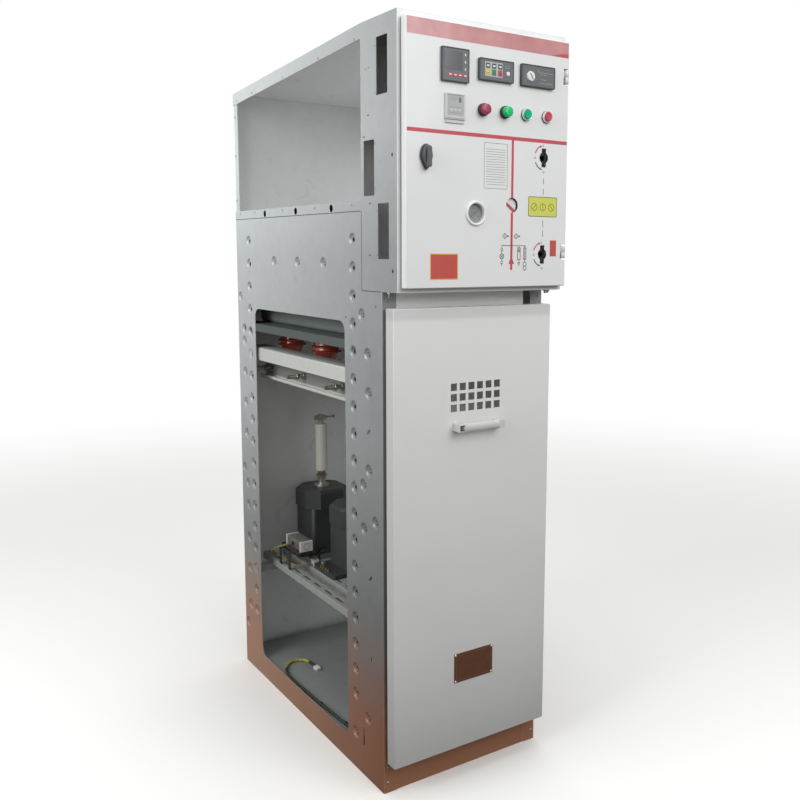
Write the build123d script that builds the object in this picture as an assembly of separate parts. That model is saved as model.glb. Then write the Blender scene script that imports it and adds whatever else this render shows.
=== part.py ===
from build123d import *
import math
import os

os.makedirs("parts", exist_ok=True)

# Ring main unit: one metal-enclosed cubicle, millimetres, +X to the viewer's right,
# the front looks towards -Y, +Z is up and the floor is Z 0.
width = 500
body_depth = 950
height = 1945
roof_fall = 52
sheet = 2
seat_gap = 0.3
bend_room = 1.2

# Instrument box at the upper front, and the door that closes it
box_reach = 75
box_seat = 100
box_height = 642
frame_rim = 22
door_gap = 5
door_depth = 18
door_left_inset = 8
door_right_inset = 5
door_top_inset = 17
door_bottom_inset = 11
door_corner = 3
gasket_width = 9
gasket_inset = 9
knob_reach = 22

# Side walls
wall_rise = 196
front_return = 40
rear_return = 25
window_front = 196
window_rear_margin = 144
window_bottom = 72
window_drop = 279
window_corner = 30
punch_radius = 5.5
punch_pitch = 71.5
punch_first = 214
punch_top_margin = 60
punch_front = 150
punch_rear_margin = 104

# Busbar compartment
tray_height = 26
tray_hole_radius = 10
tray_holes = (266, 488, 710)
roof_skirt = 36
upper_post = 30

# Side slots of the instrument box, each as (distance behind the lower front, height over the box's underside)
slot_width = 52
slot_height = 132
slot_places = ((-4, 529), (60, 297), (-9, 145))

# Base, floor and front frame
base_height = 86
base_lip = 25
floor_height = 60
crossmember_height = 130
notch_width = 33
notch_depth = 48
notch_from_right = 47

# Lift-off front cover
cover_left = 3
cover_right = 10
cover_bottom = 90
cover_drop = 39
cover_gap = 14
cover_depth = 35
cover_corner = 3
vent_hole = 19
vent_pitch = 27
vent_columns = 6
vent_rows = 3
vent_drop = 228
stud_radius = 4
stud_head_radius = 7
stud_head = 3
stud_rise = 70
stud_drop = 84
stud_inset = 17
hook_thick = 2
hook_height = 34
hook_width = 34
handle_length = 150
handle_reach = 32
handle_bar = 13
handle_height = 22
handle_drop = 309
plate_width = 124
plate_height = 80
plate_thick = 1.2
plate_rise = 224

# Hinges and lock of the instrument door, heights over the box's underside or under the door's top
hinge_rise = 98
hinge_drop = 86
barrel_radius = 7
barrel_length = 32
hinge_inset = 12
hinge_set = 4
pin_radius = 3
pin_clearance = 0.08
leaf_thick = 2
leaf_length = 26
hinge_notch = 4
lock_inset = 54
lock_rise = 315
lock_width = 34
lock_height = 60
lock_plate = 4
spindle_radius = 8
cam_length = 28
cam_width = 16
cam_thick = 3

# Door instruments, across from the cubicle's middle, the upper two rows measured from the door's top
instrument_clearance = 0.3
upper_row_drop = 96
lower_row_drop = 190
meter_across = -109
meter_face = 77
meter_body = 66
meter_bezel = 8
meter_depth = 62
display_across = 10
display_face = (103, 51)
display_body = (90, 44)
display_depth = 48
fault_across = 139
fault_face = (107, 53)
unit_bezel = 9
controller_across = -108
controller_face = (56, 60)
controller_body = (45, 45)
controller_bezel = 6
controller_depth = 40
lamp_places = (-26, 40)
button_places = (106, 172)
collar_radius = 15
collar_thick = 9
stem_radius = 11
stem_depth = 42
lens_radius = 12.5
lens_reach = 21
button_radius = 11
button_clearance = 0.4
button_reach = 12
button_plunger = 6
cap_thick = 6
gauge_across = -44
gauge_rise = 190
gauge_radius = 30
gauge_bezel = 5
gauge_body = 26
gauge_rim = 6.5
gauge_depth = 22
indicator_across = 67
indicator_rise = 213
indicator_hole = 18.5
indicator_disc = 24
indicator_thick = 3
indicator_spindle = 5

# Operating shafts of the load switch and the earthing switch
shaft_across = 167
earth_shaft_rise = 92
load_shaft_rise = 334
shaft_hole = 14.5
shaft_key_width = 14
shaft_key_height = 46
key_clearance = 2
shaft_radius = 12
shaft_socket = 8
socket_depth = 30
shaft_clearance = 0.1
shaft_tail = 22
tail_radius = 9
swing_clearance = 5
mechanism_set = 66
mechanism_left = 130
mechanism_height = 415

# Switch enclosure and the pieces of the cable compartment
tank_side_gap = 60
tank_drop = 24
tank_height = 303
tank_front = 130
tank_rear_margin = 50
tank_corner = 12
bracket_leg = 24
phase_pitch = 255
phase_rear_margin = 90
phase_count = 3
bushing_across = 150
bushing_length = 112
bushing_radius = 34
bushing_fins = 3
beam_left = 12
beam_depth = 66
beam_drop = 77
beam_height = 108
beam_lip = 40
beam_foot = 12
beam_front = 60
beam_rear_margin = 45
beam_sheet = 3
cleat_inset = 30
cleat_width = 30
cleat_drop = 4
stud_length = 62
beam_stud_level = 36
beam_stud_radius = 6
nut_across = 18
nut_thick = 9
rail_lines = (-178, -108, 108, 178)
rail_width = 36
rail_height = 22
rail_top = 385
rail_front = 40
rail_rear_margin = 35
crossbar_inset = 60
crossbar_depth = 30
crossbar_height = 20
transformer_foot = 244
transformer_length = 160
transformer_depth = 156
transformer_height = 215
transformer_cap = 62
transformer_chamfer = 38
transformer_waist = 12
foot_thick = 14
insulator_radius = 20
insulator_length = 157
insulator_foot = 60
insulator_head = 32
insulator_flange = 26
heater_across = -144
heater_rear_margin = 270
heater_length = 110
heater_width = 44
heater_height = 34
heater_lift = 56
heater_fins = 9
fin_depth = 3

# Wiring: a sleeved loom on the floor and a heater lead on the left-hand rail
loom_diameter = 9
loom_gland_radius = 8
loom_gland_length = 18
loom_gland_across = 45
loom_end = (-137, 227)
connector_size = (16, 26, 9)
connector_edge = 1.5
lead_diameter = 5
lead_gland_radius = 4
lead_gland_length = 6
terminal_size = (20, 20, 18)
terminal_offset = 2
lead_exit_y = 320
lead_exit_z = 458
lead_end_y = 283
cord_clearance = 0.3
arc_share = 0.45

# Places that follow from the sizes above
left_x = -width / 2
right_x = width / 2
inner_left = left_x + sheet + bend_room
inner_right = right_x - sheet - bend_room
front_reach = box_reach + door_gap + door_depth + knob_reach
front_y = front_reach - (body_depth + front_reach) / 2
rear_y = front_y + body_depth
box_underside = height - box_height
wall_top = box_underside + wall_rise
box_front_y = front_y - box_reach
box_rear_y = front_y + box_seat
door_rear_y = box_front_y - door_gap
door_front_y = door_rear_y - door_depth
door_inner_y = door_front_y + sheet
door_left_x = left_x + door_left_inset
door_right_x = right_x - door_right_inset
door_bottom = box_underside + door_bottom_inset
door_top = height - door_top_inset
upper_row_z = door_top - upper_row_drop
lower_row_z = door_top - lower_row_drop
gauge_z = box_underside + gauge_rise
indicator_z = box_underside + indicator_rise
earth_shaft_z = box_underside + earth_shaft_rise
load_shaft_z = box_underside + load_shaft_rise
lock_x = door_left_x + lock_inset
lock_z = box_underside + lock_rise
mechanism_y = box_front_y + mechanism_set
shaft_front_y = door_inner_y + swing_clearance
hinge_x = right_x - hinge_inset
hinge_y = door_front_y + hinge_set
hinge_levels = (box_underside + hinge_rise, door_top - hinge_drop)
window_rear = body_depth - window_rear_margin
window_top = wall_top - window_drop
punch_columns = (punch_front, body_depth - punch_rear_margin)
punch_count = 1 + int((wall_top - punch_top_margin - punch_first) / punch_pitch)
cover_top = box_underside - cover_drop
stud_levels = (cover_bottom + stud_rise, cover_top - stud_drop)
vent_z = cover_top - vent_drop
handle_z = cover_top - handle_drop
plate_z = cover_bottom + plate_rise
tank_top = wall_top - tank_drop
tank_bottom = tank_top - tank_height
tank_rear = body_depth - tank_rear_margin
beam_top = tank_bottom - beam_drop
beam_rear = body_depth - beam_rear_margin
rail_rear = body_depth - rail_rear_margin
mechanism_top = box_underside + sheet + mechanism_height
loom_z = floor_height + loom_diameter / 2 + cord_clearance
lead_z = rail_top + lead_diameter / 2 + cord_clearance
tray_top = wall_top + tray_height
inner_y = rear_y - 2 * sheet
cover_rear_y = front_y - cover_gap
cover_front_y = cover_rear_y - cover_depth
cover_left_x = left_x + cover_left
cover_right_x = right_x - cover_right
cover_middle = (cover_left_x + cover_right_x) / 2
stud_places = (cover_left_x + stud_inset, cover_right_x - stud_inset)
rail_bottom = rail_top - rail_height
beam_stud_z = beam_top - beam_height + beam_stud_level
phase_last_y = rear_y - phase_rear_margin
phase_places = [phase_last_y - phase_pitch * n for n in reversed(range(phase_count))]


def block(x_low, x_high, y_low, y_high, z_low, z_high):
    """A rectangular solid between two corners."""
    middle = ((x_low + x_high) / 2, (y_low + y_high) / 2, (z_low + z_high) / 2)
    return Pos(*middle) * Box(x_high - x_low, y_high - y_low, z_high - z_low)


def along_y(x, z, y_low, y_high, radius):
    """A round bar from front to rear."""
    bar = Cylinder(radius, y_high - y_low)
    return Pos(x, (y_low + y_high) / 2, z) * Rot(90, 0, 0) * bar


def along_x(y, z, x_low, x_high, radius):
    """A round bar from left to right."""
    bar = Cylinder(radius, x_high - x_low)
    return Pos((x_low + x_high) / 2, y, z) * Rot(0, 90, 0) * bar


def upright(x, y, z_low, z_high, radius):
    """A round bar standing up."""
    return Pos(x, y, (z_low + z_high) / 2) * Cylinder(radius, z_high - z_low)


def folded(points, thick, z_low, z_high):
    """Sheet bent along a line of points in plan, the points being the middle of its thickness."""
    strip = trace(FilletPolyline(*points, radius=thick), line_width=thick)
    return Pos(0, 0, z_low) * extrude(strip, amount=z_high - z_low)


def pan(x_low, x_high, y_front, y_rear, z_low, z_high, corner):
    """A sheet panel with its four edges folded back, open at the rear."""
    shell = block(x_low, x_high, y_front, y_rear, z_low, z_high)
    shell = fillet(shell.edges().filter_by(Axis.Y), corner)
    shell = fillet(shell.faces().sort_by(Axis.Y)[0].edges(), corner - 0.5)
    inside = block(
        x_low + sheet, x_high - sheet, y_front + sheet, y_rear + 1, z_low + sheet, z_high - sheet
    )
    inside = fillet(inside.edges().filter_by(Axis.Y), corner - sheet + 0.3)
    return shell - inside


def save(solid, name):
    """Writes one piece under its plain name."""
    export_step(solid, "parts/" + name + ".step")


# Side walls: galvanised sheet with folded front and rear returns and rows of punched bolt holes
def side_wall(side):
    outer = side * (width / 2 - sheet / 2)
    front_edge = side * (width / 2 - front_return)
    rear_edge = side * (width / 2 - rear_return)
    line = [
        (front_edge, front_y + sheet / 2),
        (outer, front_y + sheet / 2),
        (outer, rear_y - sheet / 2),
        (rear_edge, rear_y - sheet / 2),
    ]
    wall = folded(line, sheet, 0, wall_top)
    corner = sorted([side * (width / 2 + 1), front_edge - side])
    wall -= block(corner[0], corner[1], front_y - 1, box_rear_y, box_underside, wall_top + 1)
    for column in punch_columns:
        for row in range(punch_count):
            wall -= punched_hole(side, column, punch_first + punch_pitch * row)
    return wall


def punched_hole(side, behind_front, level):
    outer = side * width / 2
    inner = side * (width / 2 - 2 * sheet)
    return along_x(front_y + behind_front, level, min(outer, inner) - 1, max(outer, inner) + 1, punch_radius)


def left_side_wall():
    wall = side_wall(-1)
    middle_y = front_y + (window_front + window_rear) / 2
    middle_z = (window_bottom + window_top) / 2
    outline = RectangleRounded(window_rear - window_front, window_top - window_bottom, window_corner)
    window = Pos(left_x, middle_y, middle_z) * Rot(0, 90, 0) * Rot(0, 0, 90) * outline
    return wall - extrude(window, amount=4 * sheet, both=True)


# Lower rear wall: one flat sheet screwed behind the side walls' rear returns
def rear_wall():
    return block(inner_left, inner_right, inner_y, rear_y - sheet, 0, tray_top - sheet)


# Base rails: folded channels between the side walls, the front one shows as the plinth strip
def base_front_rail():
    near = front_y + sheet
    web = block(inner_left, inner_right, near, near + sheet, 0, base_height)
    foot = block(inner_left, inner_right, near, near + base_lip, 0, sheet)
    top = block(inner_left, inner_right, near, near + base_lip, base_height - sheet, base_height)
    gland = along_y(
        left_x + loom_gland_across, loom_z, near, near + sheet + loom_gland_length, loom_gland_radius
    )
    return web + foot + top + gland


def base_rear_rail():
    far = inner_y
    web = block(inner_left, inner_right, far - sheet, far, 0, base_height + base_lip)
    foot = block(inner_left, inner_right, far - base_lip, far, 0, sheet)
    return web + foot


# Floor plate: a tray with its edges folded down, standing between the side walls
def floor_plate():
    low_y = front_y + sheet + base_lip + seat_gap
    high_y = inner_y - base_lip - seat_gap
    plate = block(left_x + sheet, right_x - sheet, low_y, high_y, 0, floor_height)
    plate -= block(left_x + 2 * sheet, right_x - 2 * sheet, low_y - 1, high_y + 1, -1, floor_height - sheet)
    return plate


# Front crossmember: ties the side walls above the cover, with an interlock notch at its right end
def front_crossmember():
    near = front_y + sheet
    low = box_underside - crossmember_height
    web = block(inner_left, inner_right, near, near + sheet, low, box_underside)
    top = block(
        inner_left, inner_right, near, near + base_lip, box_underside - sheet, box_underside
    )
    notch_right = right_x - notch_from_right + notch_width / 2
    notch = block(
        notch_right - notch_width,
        notch_right,
        near - 1,
        near + base_lip + 1,
        box_underside - notch_depth,
        box_underside + 1,
    )
    return web + top - notch


# Busbar compartment floor: a tray with skirts, the left skirt shows as a rail with three round holes
def busbar_floor():
    tray = block(left_x, right_x, box_rear_y, rear_y, wall_top, tray_top)
    tray -= block(left_x + sheet, right_x - sheet, box_rear_y - 1, rear_y - sheet, 0, tray_top - sheet)
    for place in tray_holes:
        middle_z = wall_top + tray_height / 2 - 1
        tray -= along_x(front_y + place, middle_z, left_x - 1, left_x + sheet + 1, tray_hole_radius)
    return tray


def roof_line(drop):
    """Corners of the space under the roof in side view, drop below its upper face."""
    return [
        (box_rear_y, wall_top),
        (rear_y, wall_top),
        (rear_y, height - roof_fall - drop),
        (box_rear_y, height - drop),
    ]


def under_roof(drop):
    """The space below the roof across the full width."""
    side = Plane.YZ.offset(left_x) * make_face(Polyline(*roof_line(drop), close=True))
    return extrude(side, amount=width)


# Roof: one sheet that falls to the rear, with skirts folded down on both sides and at the rear
def roof_panel():
    shell = under_roof(0) - under_roof(roof_skirt)
    hollow = under_roof(sheet) & block(
        left_x + sheet, right_x - sheet, box_rear_y - 1, rear_y - sheet, 0, height + 1
    )
    return shell - hollow


# Upper rear wall: a sheet inside the roof's skirt, its left edge folded forward as the corner post
def upper_rear_wall():
    line = [
        (left_x + 1.5 * sheet, rear_y - upper_post),
        (left_x + 1.5 * sheet, rear_y - 1.5 * sheet),
        (right_x - 2 * sheet, rear_y - 1.5 * sheet),
    ]
    return folded(line, sheet, tray_top, height) & under_roof(sheet)


# Upper right wall: a plain sheet that closes the busbar compartment
def upper_right_wall():
    wall = block(
        right_x - 2 * sheet, right_x - sheet, box_rear_y, rear_y - sheet, tray_top, height
    )
    return wall & under_roof(sheet)


# Instrument box: folded side panels flush with the cubicle's sides
def box_side(side):
    outer = side * width / 2
    inner = side * (width / 2 - sheet)
    return block(
        min(outer, inner), max(outer, inner), box_front_y + sheet, box_rear_y, box_underside, height
    )


def box_left_side():
    panel = box_side(-1)
    for behind_front, rise in slot_places:
        middle_y = front_y + behind_front
        level = box_underside + rise
        panel -= block(
            left_x - 1,
            left_x + sheet + 1,
            middle_y - slot_width / 2,
            middle_y + slot_width / 2,
            level - slot_height / 2,
            level + slot_height / 2,
        )
    return panel


def box_right_side():
    return box_side(1)


def box_top():
    return block(
        left_x + sheet, right_x - sheet, box_front_y + sheet, box_rear_y, height - sheet, height
    )


def box_bottom():
    return block(
        left_x + sheet,
        right_x - sheet,
        box_front_y + sheet,
        box_rear_y,
        box_underside,
        box_underside + sheet,
    )


def box_back():
    return block(
        left_x + sheet,
        right_x - sheet,
        box_rear_y - sheet,
        box_rear_y,
        box_underside + sheet,
        height - sheet,
    )


# Front frame: the white rim that the door closes on
def box_front_frame():
    rim = block(left_x, right_x, box_front_y, box_front_y + sheet, box_underside, height)
    rim = fillet(rim.edges().filter_by(Axis.Y), sheet)
    opening = block(
        left_x + frame_rim,
        right_x - frame_rim,
        box_front_y - 1,
        box_front_y + sheet + 1,
        box_underside + frame_rim,
        height - frame_rim - sheet,
    )
    return rim - opening


# Door gasket: a rubber strip on the front frame, just short of the closed door
def door_gasket():
    outer = block(
        door_left_x + gasket_inset,
        door_right_x - gasket_inset - hinge_inset,
        door_rear_y + seat_gap,
        box_front_y,
        door_bottom + gasket_inset,
        door_top - gasket_inset,
    )
    inner = block(
        door_left_x + gasket_inset + gasket_width,
        door_right_x - gasket_inset - hinge_inset - gasket_width,
        door_rear_y,
        box_front_y + 1,
        door_bottom + gasket_inset + gasket_width,
        door_top - gasket_inset - gasket_width,
    )
    return outer - inner


# Mechanism plate: a folded panel inside the box that carries the operating shafts
def mechanism_plate():
    line = [
        (left_x + mechanism_left, mechanism_y + base_lip),
        (left_x + mechanism_left, mechanism_y + sheet / 2),
        (right_x - 1.5 * sheet, mechanism_y + sheet / 2),
        (right_x - 1.5 * sheet, mechanism_y + base_lip),
    ]
    plate = folded(line, sheet, box_underside + sheet, mechanism_top)
    for level in (earth_shaft_z, load_shaft_z):
        plate -= shaft_bore(shaft_across, level, tail_radius)
    return plate - shaft_bore(indicator_across, indicator_z, indicator_spindle)


def shaft_bore(x, z, radius):
    return along_y(x, z, mechanism_y - 1, mechanism_y + sheet + 1, radius + shaft_clearance)


# Operating shafts: a socket that takes the operating handle, turning in the mechanism plate
def operating_shaft(level):
    x = shaft_across
    head = along_y(x, level, shaft_front_y, mechanism_y - seat_gap, shaft_radius)
    tail = along_y(x, level, mechanism_y - seat_gap, mechanism_y + shaft_tail, tail_radius)
    socket = Plane.XZ.offset(-shaft_front_y) * RegularPolygon(shaft_socket, 6)
    key = block(
        x - shaft_key_width / 2 + key_clearance,
        x + shaft_key_width / 2 - key_clearance,
        shaft_front_y,
        shaft_front_y + socket_depth,
        level - shaft_key_height / 2 + key_clearance,
        level + shaft_key_height / 2 - key_clearance,
    )
    bore = extrude(socket, amount=-socket_depth)
    return head + tail + key - Pos(x, 0, level) * bore


# Position indicator: a round disc behind the door's hole, turning with the load switch shaft
def position_indicator():
    x = indicator_across
    z = indicator_z
    disc = along_y(x, z, shaft_front_y, shaft_front_y + indicator_thick, indicator_disc)
    spindle = along_y(x, z, shaft_front_y + 1, mechanism_y + shaft_tail, indicator_spindle)
    return disc + spindle


# Hinges: lift-off barrels, the lower half with its pin on the frame and the upper half on the door
def hinge_bases():
    bases = []
    for level in hinge_levels:
        low = level - barrel_length / 2
        middle = level - seat_gap
        barrel = upright(hinge_x, hinge_y, low, middle, barrel_radius)
        pin = upright(hinge_x, hinge_y, low, level + barrel_length / 2 - 2, pin_radius)
        arm = block(hinge_x - 4, hinge_x + 4, hinge_y, box_front_y, low, middle)
        foot = block(
            hinge_x - barrel_radius,
            hinge_x + barrel_radius,
            box_front_y - leaf_thick,
            box_front_y,
            low,
            middle,
        )
        bases.append(barrel + pin + arm + foot)
    return Compound(bases)


def hinge_knuckles():
    knuckles = []
    for level in hinge_levels:
        high = level + barrel_length / 2
        barrel = upright(hinge_x, hinge_y, level, high, barrel_radius)
        leaf = block(
            hinge_x - leaf_length, hinge_x, door_inner_y, door_inner_y + leaf_thick, level, high
        )
        bore = upright(hinge_x, hinge_y, level - 1, high - 1.5, pin_radius + pin_clearance)
        knuckles.append(barrel + leaf - bore)
    return Compound(knuckles)


# Instrument door: a folded pan with the cut-outs for its instruments, shafts and indicator
def instrument_door():
    door = pan(
        door_left_x, door_right_x, door_front_y, door_rear_y, door_bottom, door_top, door_corner
    )
    for level in hinge_levels:
        door -= block(
            hinge_x - barrel_radius - hinge_notch,
            door_right_x + 1,
            door_front_y - 1,
            door_rear_y + 1,
            level - barrel_length / 2 - hinge_notch,
            level + barrel_length / 2 + hinge_notch,
        )
    door -= door_cut(meter_across, upper_row_z, (meter_body, meter_body))
    door -= door_cut(display_across, upper_row_z, display_body)
    door -= door_cut(fault_across, upper_row_z, display_body)
    door -= door_cut(controller_across, lower_row_z, controller_body)
    for across in lamp_places + button_places:
        door -= door_hole(across, lower_row_z, stem_radius + instrument_clearance)
    door -= door_hole(gauge_across, gauge_z, gauge_body + instrument_clearance)
    door -= door_hole(indicator_across, indicator_z, indicator_hole)
    door -= door_hole(lock_x, lock_z, spindle_radius + instrument_clearance)
    for level in (earth_shaft_z, load_shaft_z):
        door -= door_hole(shaft_across, level, shaft_hole)
        door -= door_cut(shaft_across, level, (shaft_key_width, shaft_key_height))
    return door


def door_hole(x, z, radius):
    return along_y(x, z, door_front_y - 1, door_inner_y + 1, radius)


def door_cut(x, z, size):
    half_x = size[0] / 2 + instrument_clearance
    half_z = size[1] / 2 + instrument_clearance
    return block(
        x - half_x, x + half_x, door_front_y - 1, door_inner_y + 1, z - half_z, z + half_z
    )


# Panel instruments: a bezel on the door's face and a body that passes through its cut-out
def panel_unit(x, z, face, body, bezel, depth, corner):
    front = block(
        x - face[0] / 2,
        x + face[0] / 2,
        door_front_y - bezel,
        door_front_y,
        z - face[1] / 2,
        z + face[1] / 2,
    )
    front = fillet(front.edges().filter_by(Axis.Y), corner)
    front = chamfer(front.faces().sort_by(Axis.Y)[0].edges(), 1.5)
    rear = block(
        x - body[0] / 2,
        x + body[0] / 2,
        door_front_y,
        door_front_y + depth,
        z - body[1] / 2,
        z + body[1] / 2,
    )
    return front + rear


def power_meter():
    size = (meter_face, meter_face)
    body = (meter_body, meter_body)
    return panel_unit(meter_across, upper_row_z, size, body, meter_bezel, meter_depth, 2)


def live_display():
    return panel_unit(
        display_across, upper_row_z, display_face, display_body, unit_bezel, display_depth, 3
    )


def fault_indicator():
    return panel_unit(
        fault_across, upper_row_z, fault_face, display_body, unit_bezel, display_depth, 3
    )


def humidity_controller():
    return panel_unit(
        controller_across,
        lower_row_z,
        controller_face,
        controller_body,
        controller_bezel,
        controller_depth,
        2,
    )


# Signal lamps: a black collar, a domed lens and a stem through the door
def signal_lamp(across):
    z = lower_row_z
    collar = along_y(across, z, door_front_y - collar_thick, door_front_y, collar_radius)
    lens = along_y(across, z, door_front_y - lens_reach, door_front_y - collar_thick, lens_radius)
    lens = fillet(lens.faces().sort_by(Axis.Y)[0].edges(), 4)
    stem = along_y(across, z, door_front_y, door_front_y + stem_depth, stem_radius)
    return collar + lens + stem


# Push-button bodies: a ringed collar and a sleeve through the door, closed at the rear
def button_collars():
    collars = []
    z = lower_row_z
    for x in button_places:
        collar = along_y(x, z, door_front_y - collar_thick, door_front_y, collar_radius)
        stem = along_y(x, z, door_front_y, door_front_y + stem_depth, stem_radius)
        depth = door_front_y - collar_thick
        recess = button_radius + button_clearance
        well = button_plunger + button_clearance
        bore = along_y(x, z, depth - 1, door_front_y - 1, recess)
        plunger = along_y(x, z, depth, door_front_y + stem_depth - 4, well)
        collars.append(collar + stem - bore - plunger)
    return Compound(collars)


# Push-button caps: a round cap and its plunger, sliding in the collar
def push_button(across):
    front = door_front_y - button_reach
    cap = along_y(across, lower_row_z, front, front + cap_thick, button_radius)
    plunger = along_y(
        across, lower_row_z, front + 1, door_front_y + stem_depth / 2, button_plunger
    )
    return cap + plunger


# Gas gauge: a ringed round window on the door with its body behind
def gas_gauge():
    x = gauge_across
    z = gauge_z
    ring = along_y(x, z, door_front_y - gauge_bezel, door_front_y, gauge_radius)
    body = along_y(x, z, door_front_y, door_front_y + gauge_depth, gauge_body)
    recess = along_y(x, z, door_front_y - gauge_bezel - 1, door_front_y - 1.5, gauge_radius - gauge_rim)
    return ring + body - recess


# Door lock: a fixed oval plate, and a grip with spindle and cam that turns a quarter
def lock_plate_piece():
    x = lock_x
    z = lock_z
    outline = SlotOverall(lock_height, lock_width, rotation=90)
    plate = extrude(Plane.XZ.offset(-door_front_y) * outline, amount=lock_plate)
    plate = Pos(x, 0, z) * plate
    return plate - along_y(
        x, z, door_front_y - lock_plate - 1, door_front_y + 1, spindle_radius + instrument_clearance
    )


def lock_grip():
    x = lock_x
    z = lock_z
    grip_y = door_front_y - lock_plate - seat_gap
    grip_reach = knob_reach - lock_plate - seat_gap
    outline = SlotOverall(lock_height - 6, lock_width / 2, rotation=90)
    grip = Pos(x, 0, z) * extrude(Plane.XZ.offset(-grip_y) * outline, amount=grip_reach)
    grip = fillet(grip.faces().sort_by(Axis.Y)[0].edges(), 3)
    tail_y = door_rear_y + swing_clearance
    spindle = along_y(x, z, grip_y - 1, tail_y, spindle_radius)
    cam = block(
        x - cam_width / 2, x + cam_width / 2, tail_y - cam_thick, tail_y, z - cam_length, z
    )
    return grip + spindle + cam


# Lift-off front cover: a deep folded pan with a field of square vent holes
def front_cover():
    cover = pan(
        cover_left_x, cover_right_x, cover_front_y, cover_rear_y, cover_bottom, cover_top, cover_corner
    )
    field = Pos(cover_middle, cover_front_y, vent_z)
    holes = GridLocations(vent_pitch, vent_pitch, vent_columns, vent_rows)
    for place in holes:
        flat = place.position
        cover -= field * Pos(flat.X, 0, flat.Y) * Box(vent_hole, 4 * sheet, vent_hole)
    return cover


# Cover hooks: four slotted plates inside the cover that hang on the frame's headed studs
def cover_hooks():
    hooks = []
    rear = cover_rear_y
    for stud_x in stud_places:
        side = -1 if stud_x < 0 else 1
        inner = stud_x + side * (stud_inset - sheet)
        far = stud_x - side * hook_width / 2
        for level in stud_levels:
            top = level + hook_height / 2
            plate = block(
                min(inner, far), max(inner, far), rear - hook_thick, rear, level - stud_head_radius, top
            )
            reach = stud_radius + seat_gap
            plate -= along_y(stud_x, level, rear - hook_thick - 1, rear + 1, reach)
            plate -= block(
                stud_x - reach,
                stud_x + reach,
                rear - hook_thick - 1,
                rear + 1,
                level - hook_height,
                level,
            )
            hooks.append(plate)
    return Compound(hooks)


# Frame studs: headed studs on the side walls' front returns that carry the cover
def frame_studs():
    studs = []
    head_y = cover_rear_y - hook_thick - 2
    for stud_x in stud_places:
        for level in stud_levels:
            shank = along_y(stud_x, level, head_y, front_y, stud_radius)
            head = along_y(stud_x, level, head_y - stud_head, head_y, stud_head_radius)
            studs.append(shank + head)
    return Compound(studs)


# Bow handle of the cover: a rounded bar on two legs
def cover_handle():
    half = handle_length / 2 - handle_bar / 2
    seat_y = cover_front_y
    bar_y = seat_y - handle_reach + handle_bar / 2
    points = [(-half, seat_y), (-half, bar_y), (half, bar_y), (half, seat_y)]
    strip = trace(FilletPolyline(*points, radius=handle_bar), line_width=handle_bar)
    low = handle_z - handle_height / 2
    handle = Pos(cover_middle, 0, low) * extrude(strip, amount=handle_height)
    faces = handle.faces().filter_by(Axis.Z)
    return fillet(faces.sort_by(Axis.Z)[-1].edges() + faces.sort_by(Axis.Z)[0].edges(), 3)


# Plate riveted to the cover, left bare
def cover_plate():
    return block(
        cover_middle - plate_width / 2,
        cover_middle + plate_width / 2,
        cover_front_y - plate_thick,
        cover_front_y,
        plate_z - plate_height / 2,
        plate_z + plate_height / 2,
    )


# Switch enclosure: a closed tank between two long angles on the side walls
def switch_tank():
    tank = block(
        left_x + tank_side_gap,
        right_x - tank_side_gap,
        front_y + tank_front,
        front_y + tank_rear,
        tank_bottom,
        tank_top,
    )
    return fillet(tank.edges().filter_by(Axis.Y), tank_corner)


def tank_angles():
    angles = []
    for side in (-1, 1):
        wall = side * (width / 2 - sheet)
        leg = wall - side * sheet
        toe = side * (width / 2 - tank_side_gap - bracket_leg)
        low_y = front_y + tank_front
        high_y = front_y + tank_rear
        shelf = block(
            min(wall, toe), max(wall, toe), low_y, high_y, tank_bottom - sheet, tank_bottom
        )
        upright_leg = block(
            min(wall, leg), max(wall, leg), low_y, high_y, tank_bottom - bracket_leg, tank_bottom
        )
        angles.append(shelf + upright_leg)
    return Compound(angles)


# Lower bushings: one red shrouded bushing a phase, each turned with shallow fins
def phase_bushings():
    x = left_x + bushing_across
    step = bushing_length / (bushing_fins + 1)
    outline = [(0, 0), (bushing_radius, 0)]
    for n in range(bushing_fins):
        z = -step * (n + 0.5)
        outline += [(bushing_radius, z), (bushing_radius + 8, z - step * 0.3), (bushing_radius - 4, z - step * 0.5)]
    outline += [(bushing_radius - 8, -bushing_length), (0, -bushing_length)]
    shape = Plane.XZ * make_face(Polyline(*outline, close=True))
    bushing = revolve(shape, Axis.Z)
    return Compound([Pos(x, y, tank_bottom) * bushing for y in phase_places])


# Support beam: a folded channel along the left wall, welded to it by two cleats
def support_beam():
    x = left_x + beam_left
    web_x = x + beam_depth
    low = beam_top - beam_height
    y_low = front_y + beam_front
    length = beam_rear - beam_front
    t = beam_sheet
    points = [
        (x + t / 2, beam_top - beam_lip),
        (x + t / 2, beam_top - t / 2),
        (web_x - t / 2, beam_top - t / 2),
        (web_x - t / 2, low + t / 2),
        (web_x - beam_depth / 3, low + t / 2),
        (web_x - beam_depth / 3, low + beam_foot),
    ]
    strip = trace(FilletPolyline(*points, radius=t), line_width=t)
    profile = Plane.XZ.offset(-y_low) * strip
    beam = extrude(profile, amount=-length)
    for y in phase_places:
        beam -= along_x(y, beam_stud_z, web_x - 2 * t, web_x + 1, beam_stud_radius + seat_gap)
    for y in (front_y + beam_front + cleat_inset, front_y + beam_rear - cleat_inset - cleat_width):
        beam += block(
            left_x + sheet, x + t, y, y + cleat_width, beam_top - beam_lip, beam_top - cleat_drop
        )
    return beam


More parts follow.
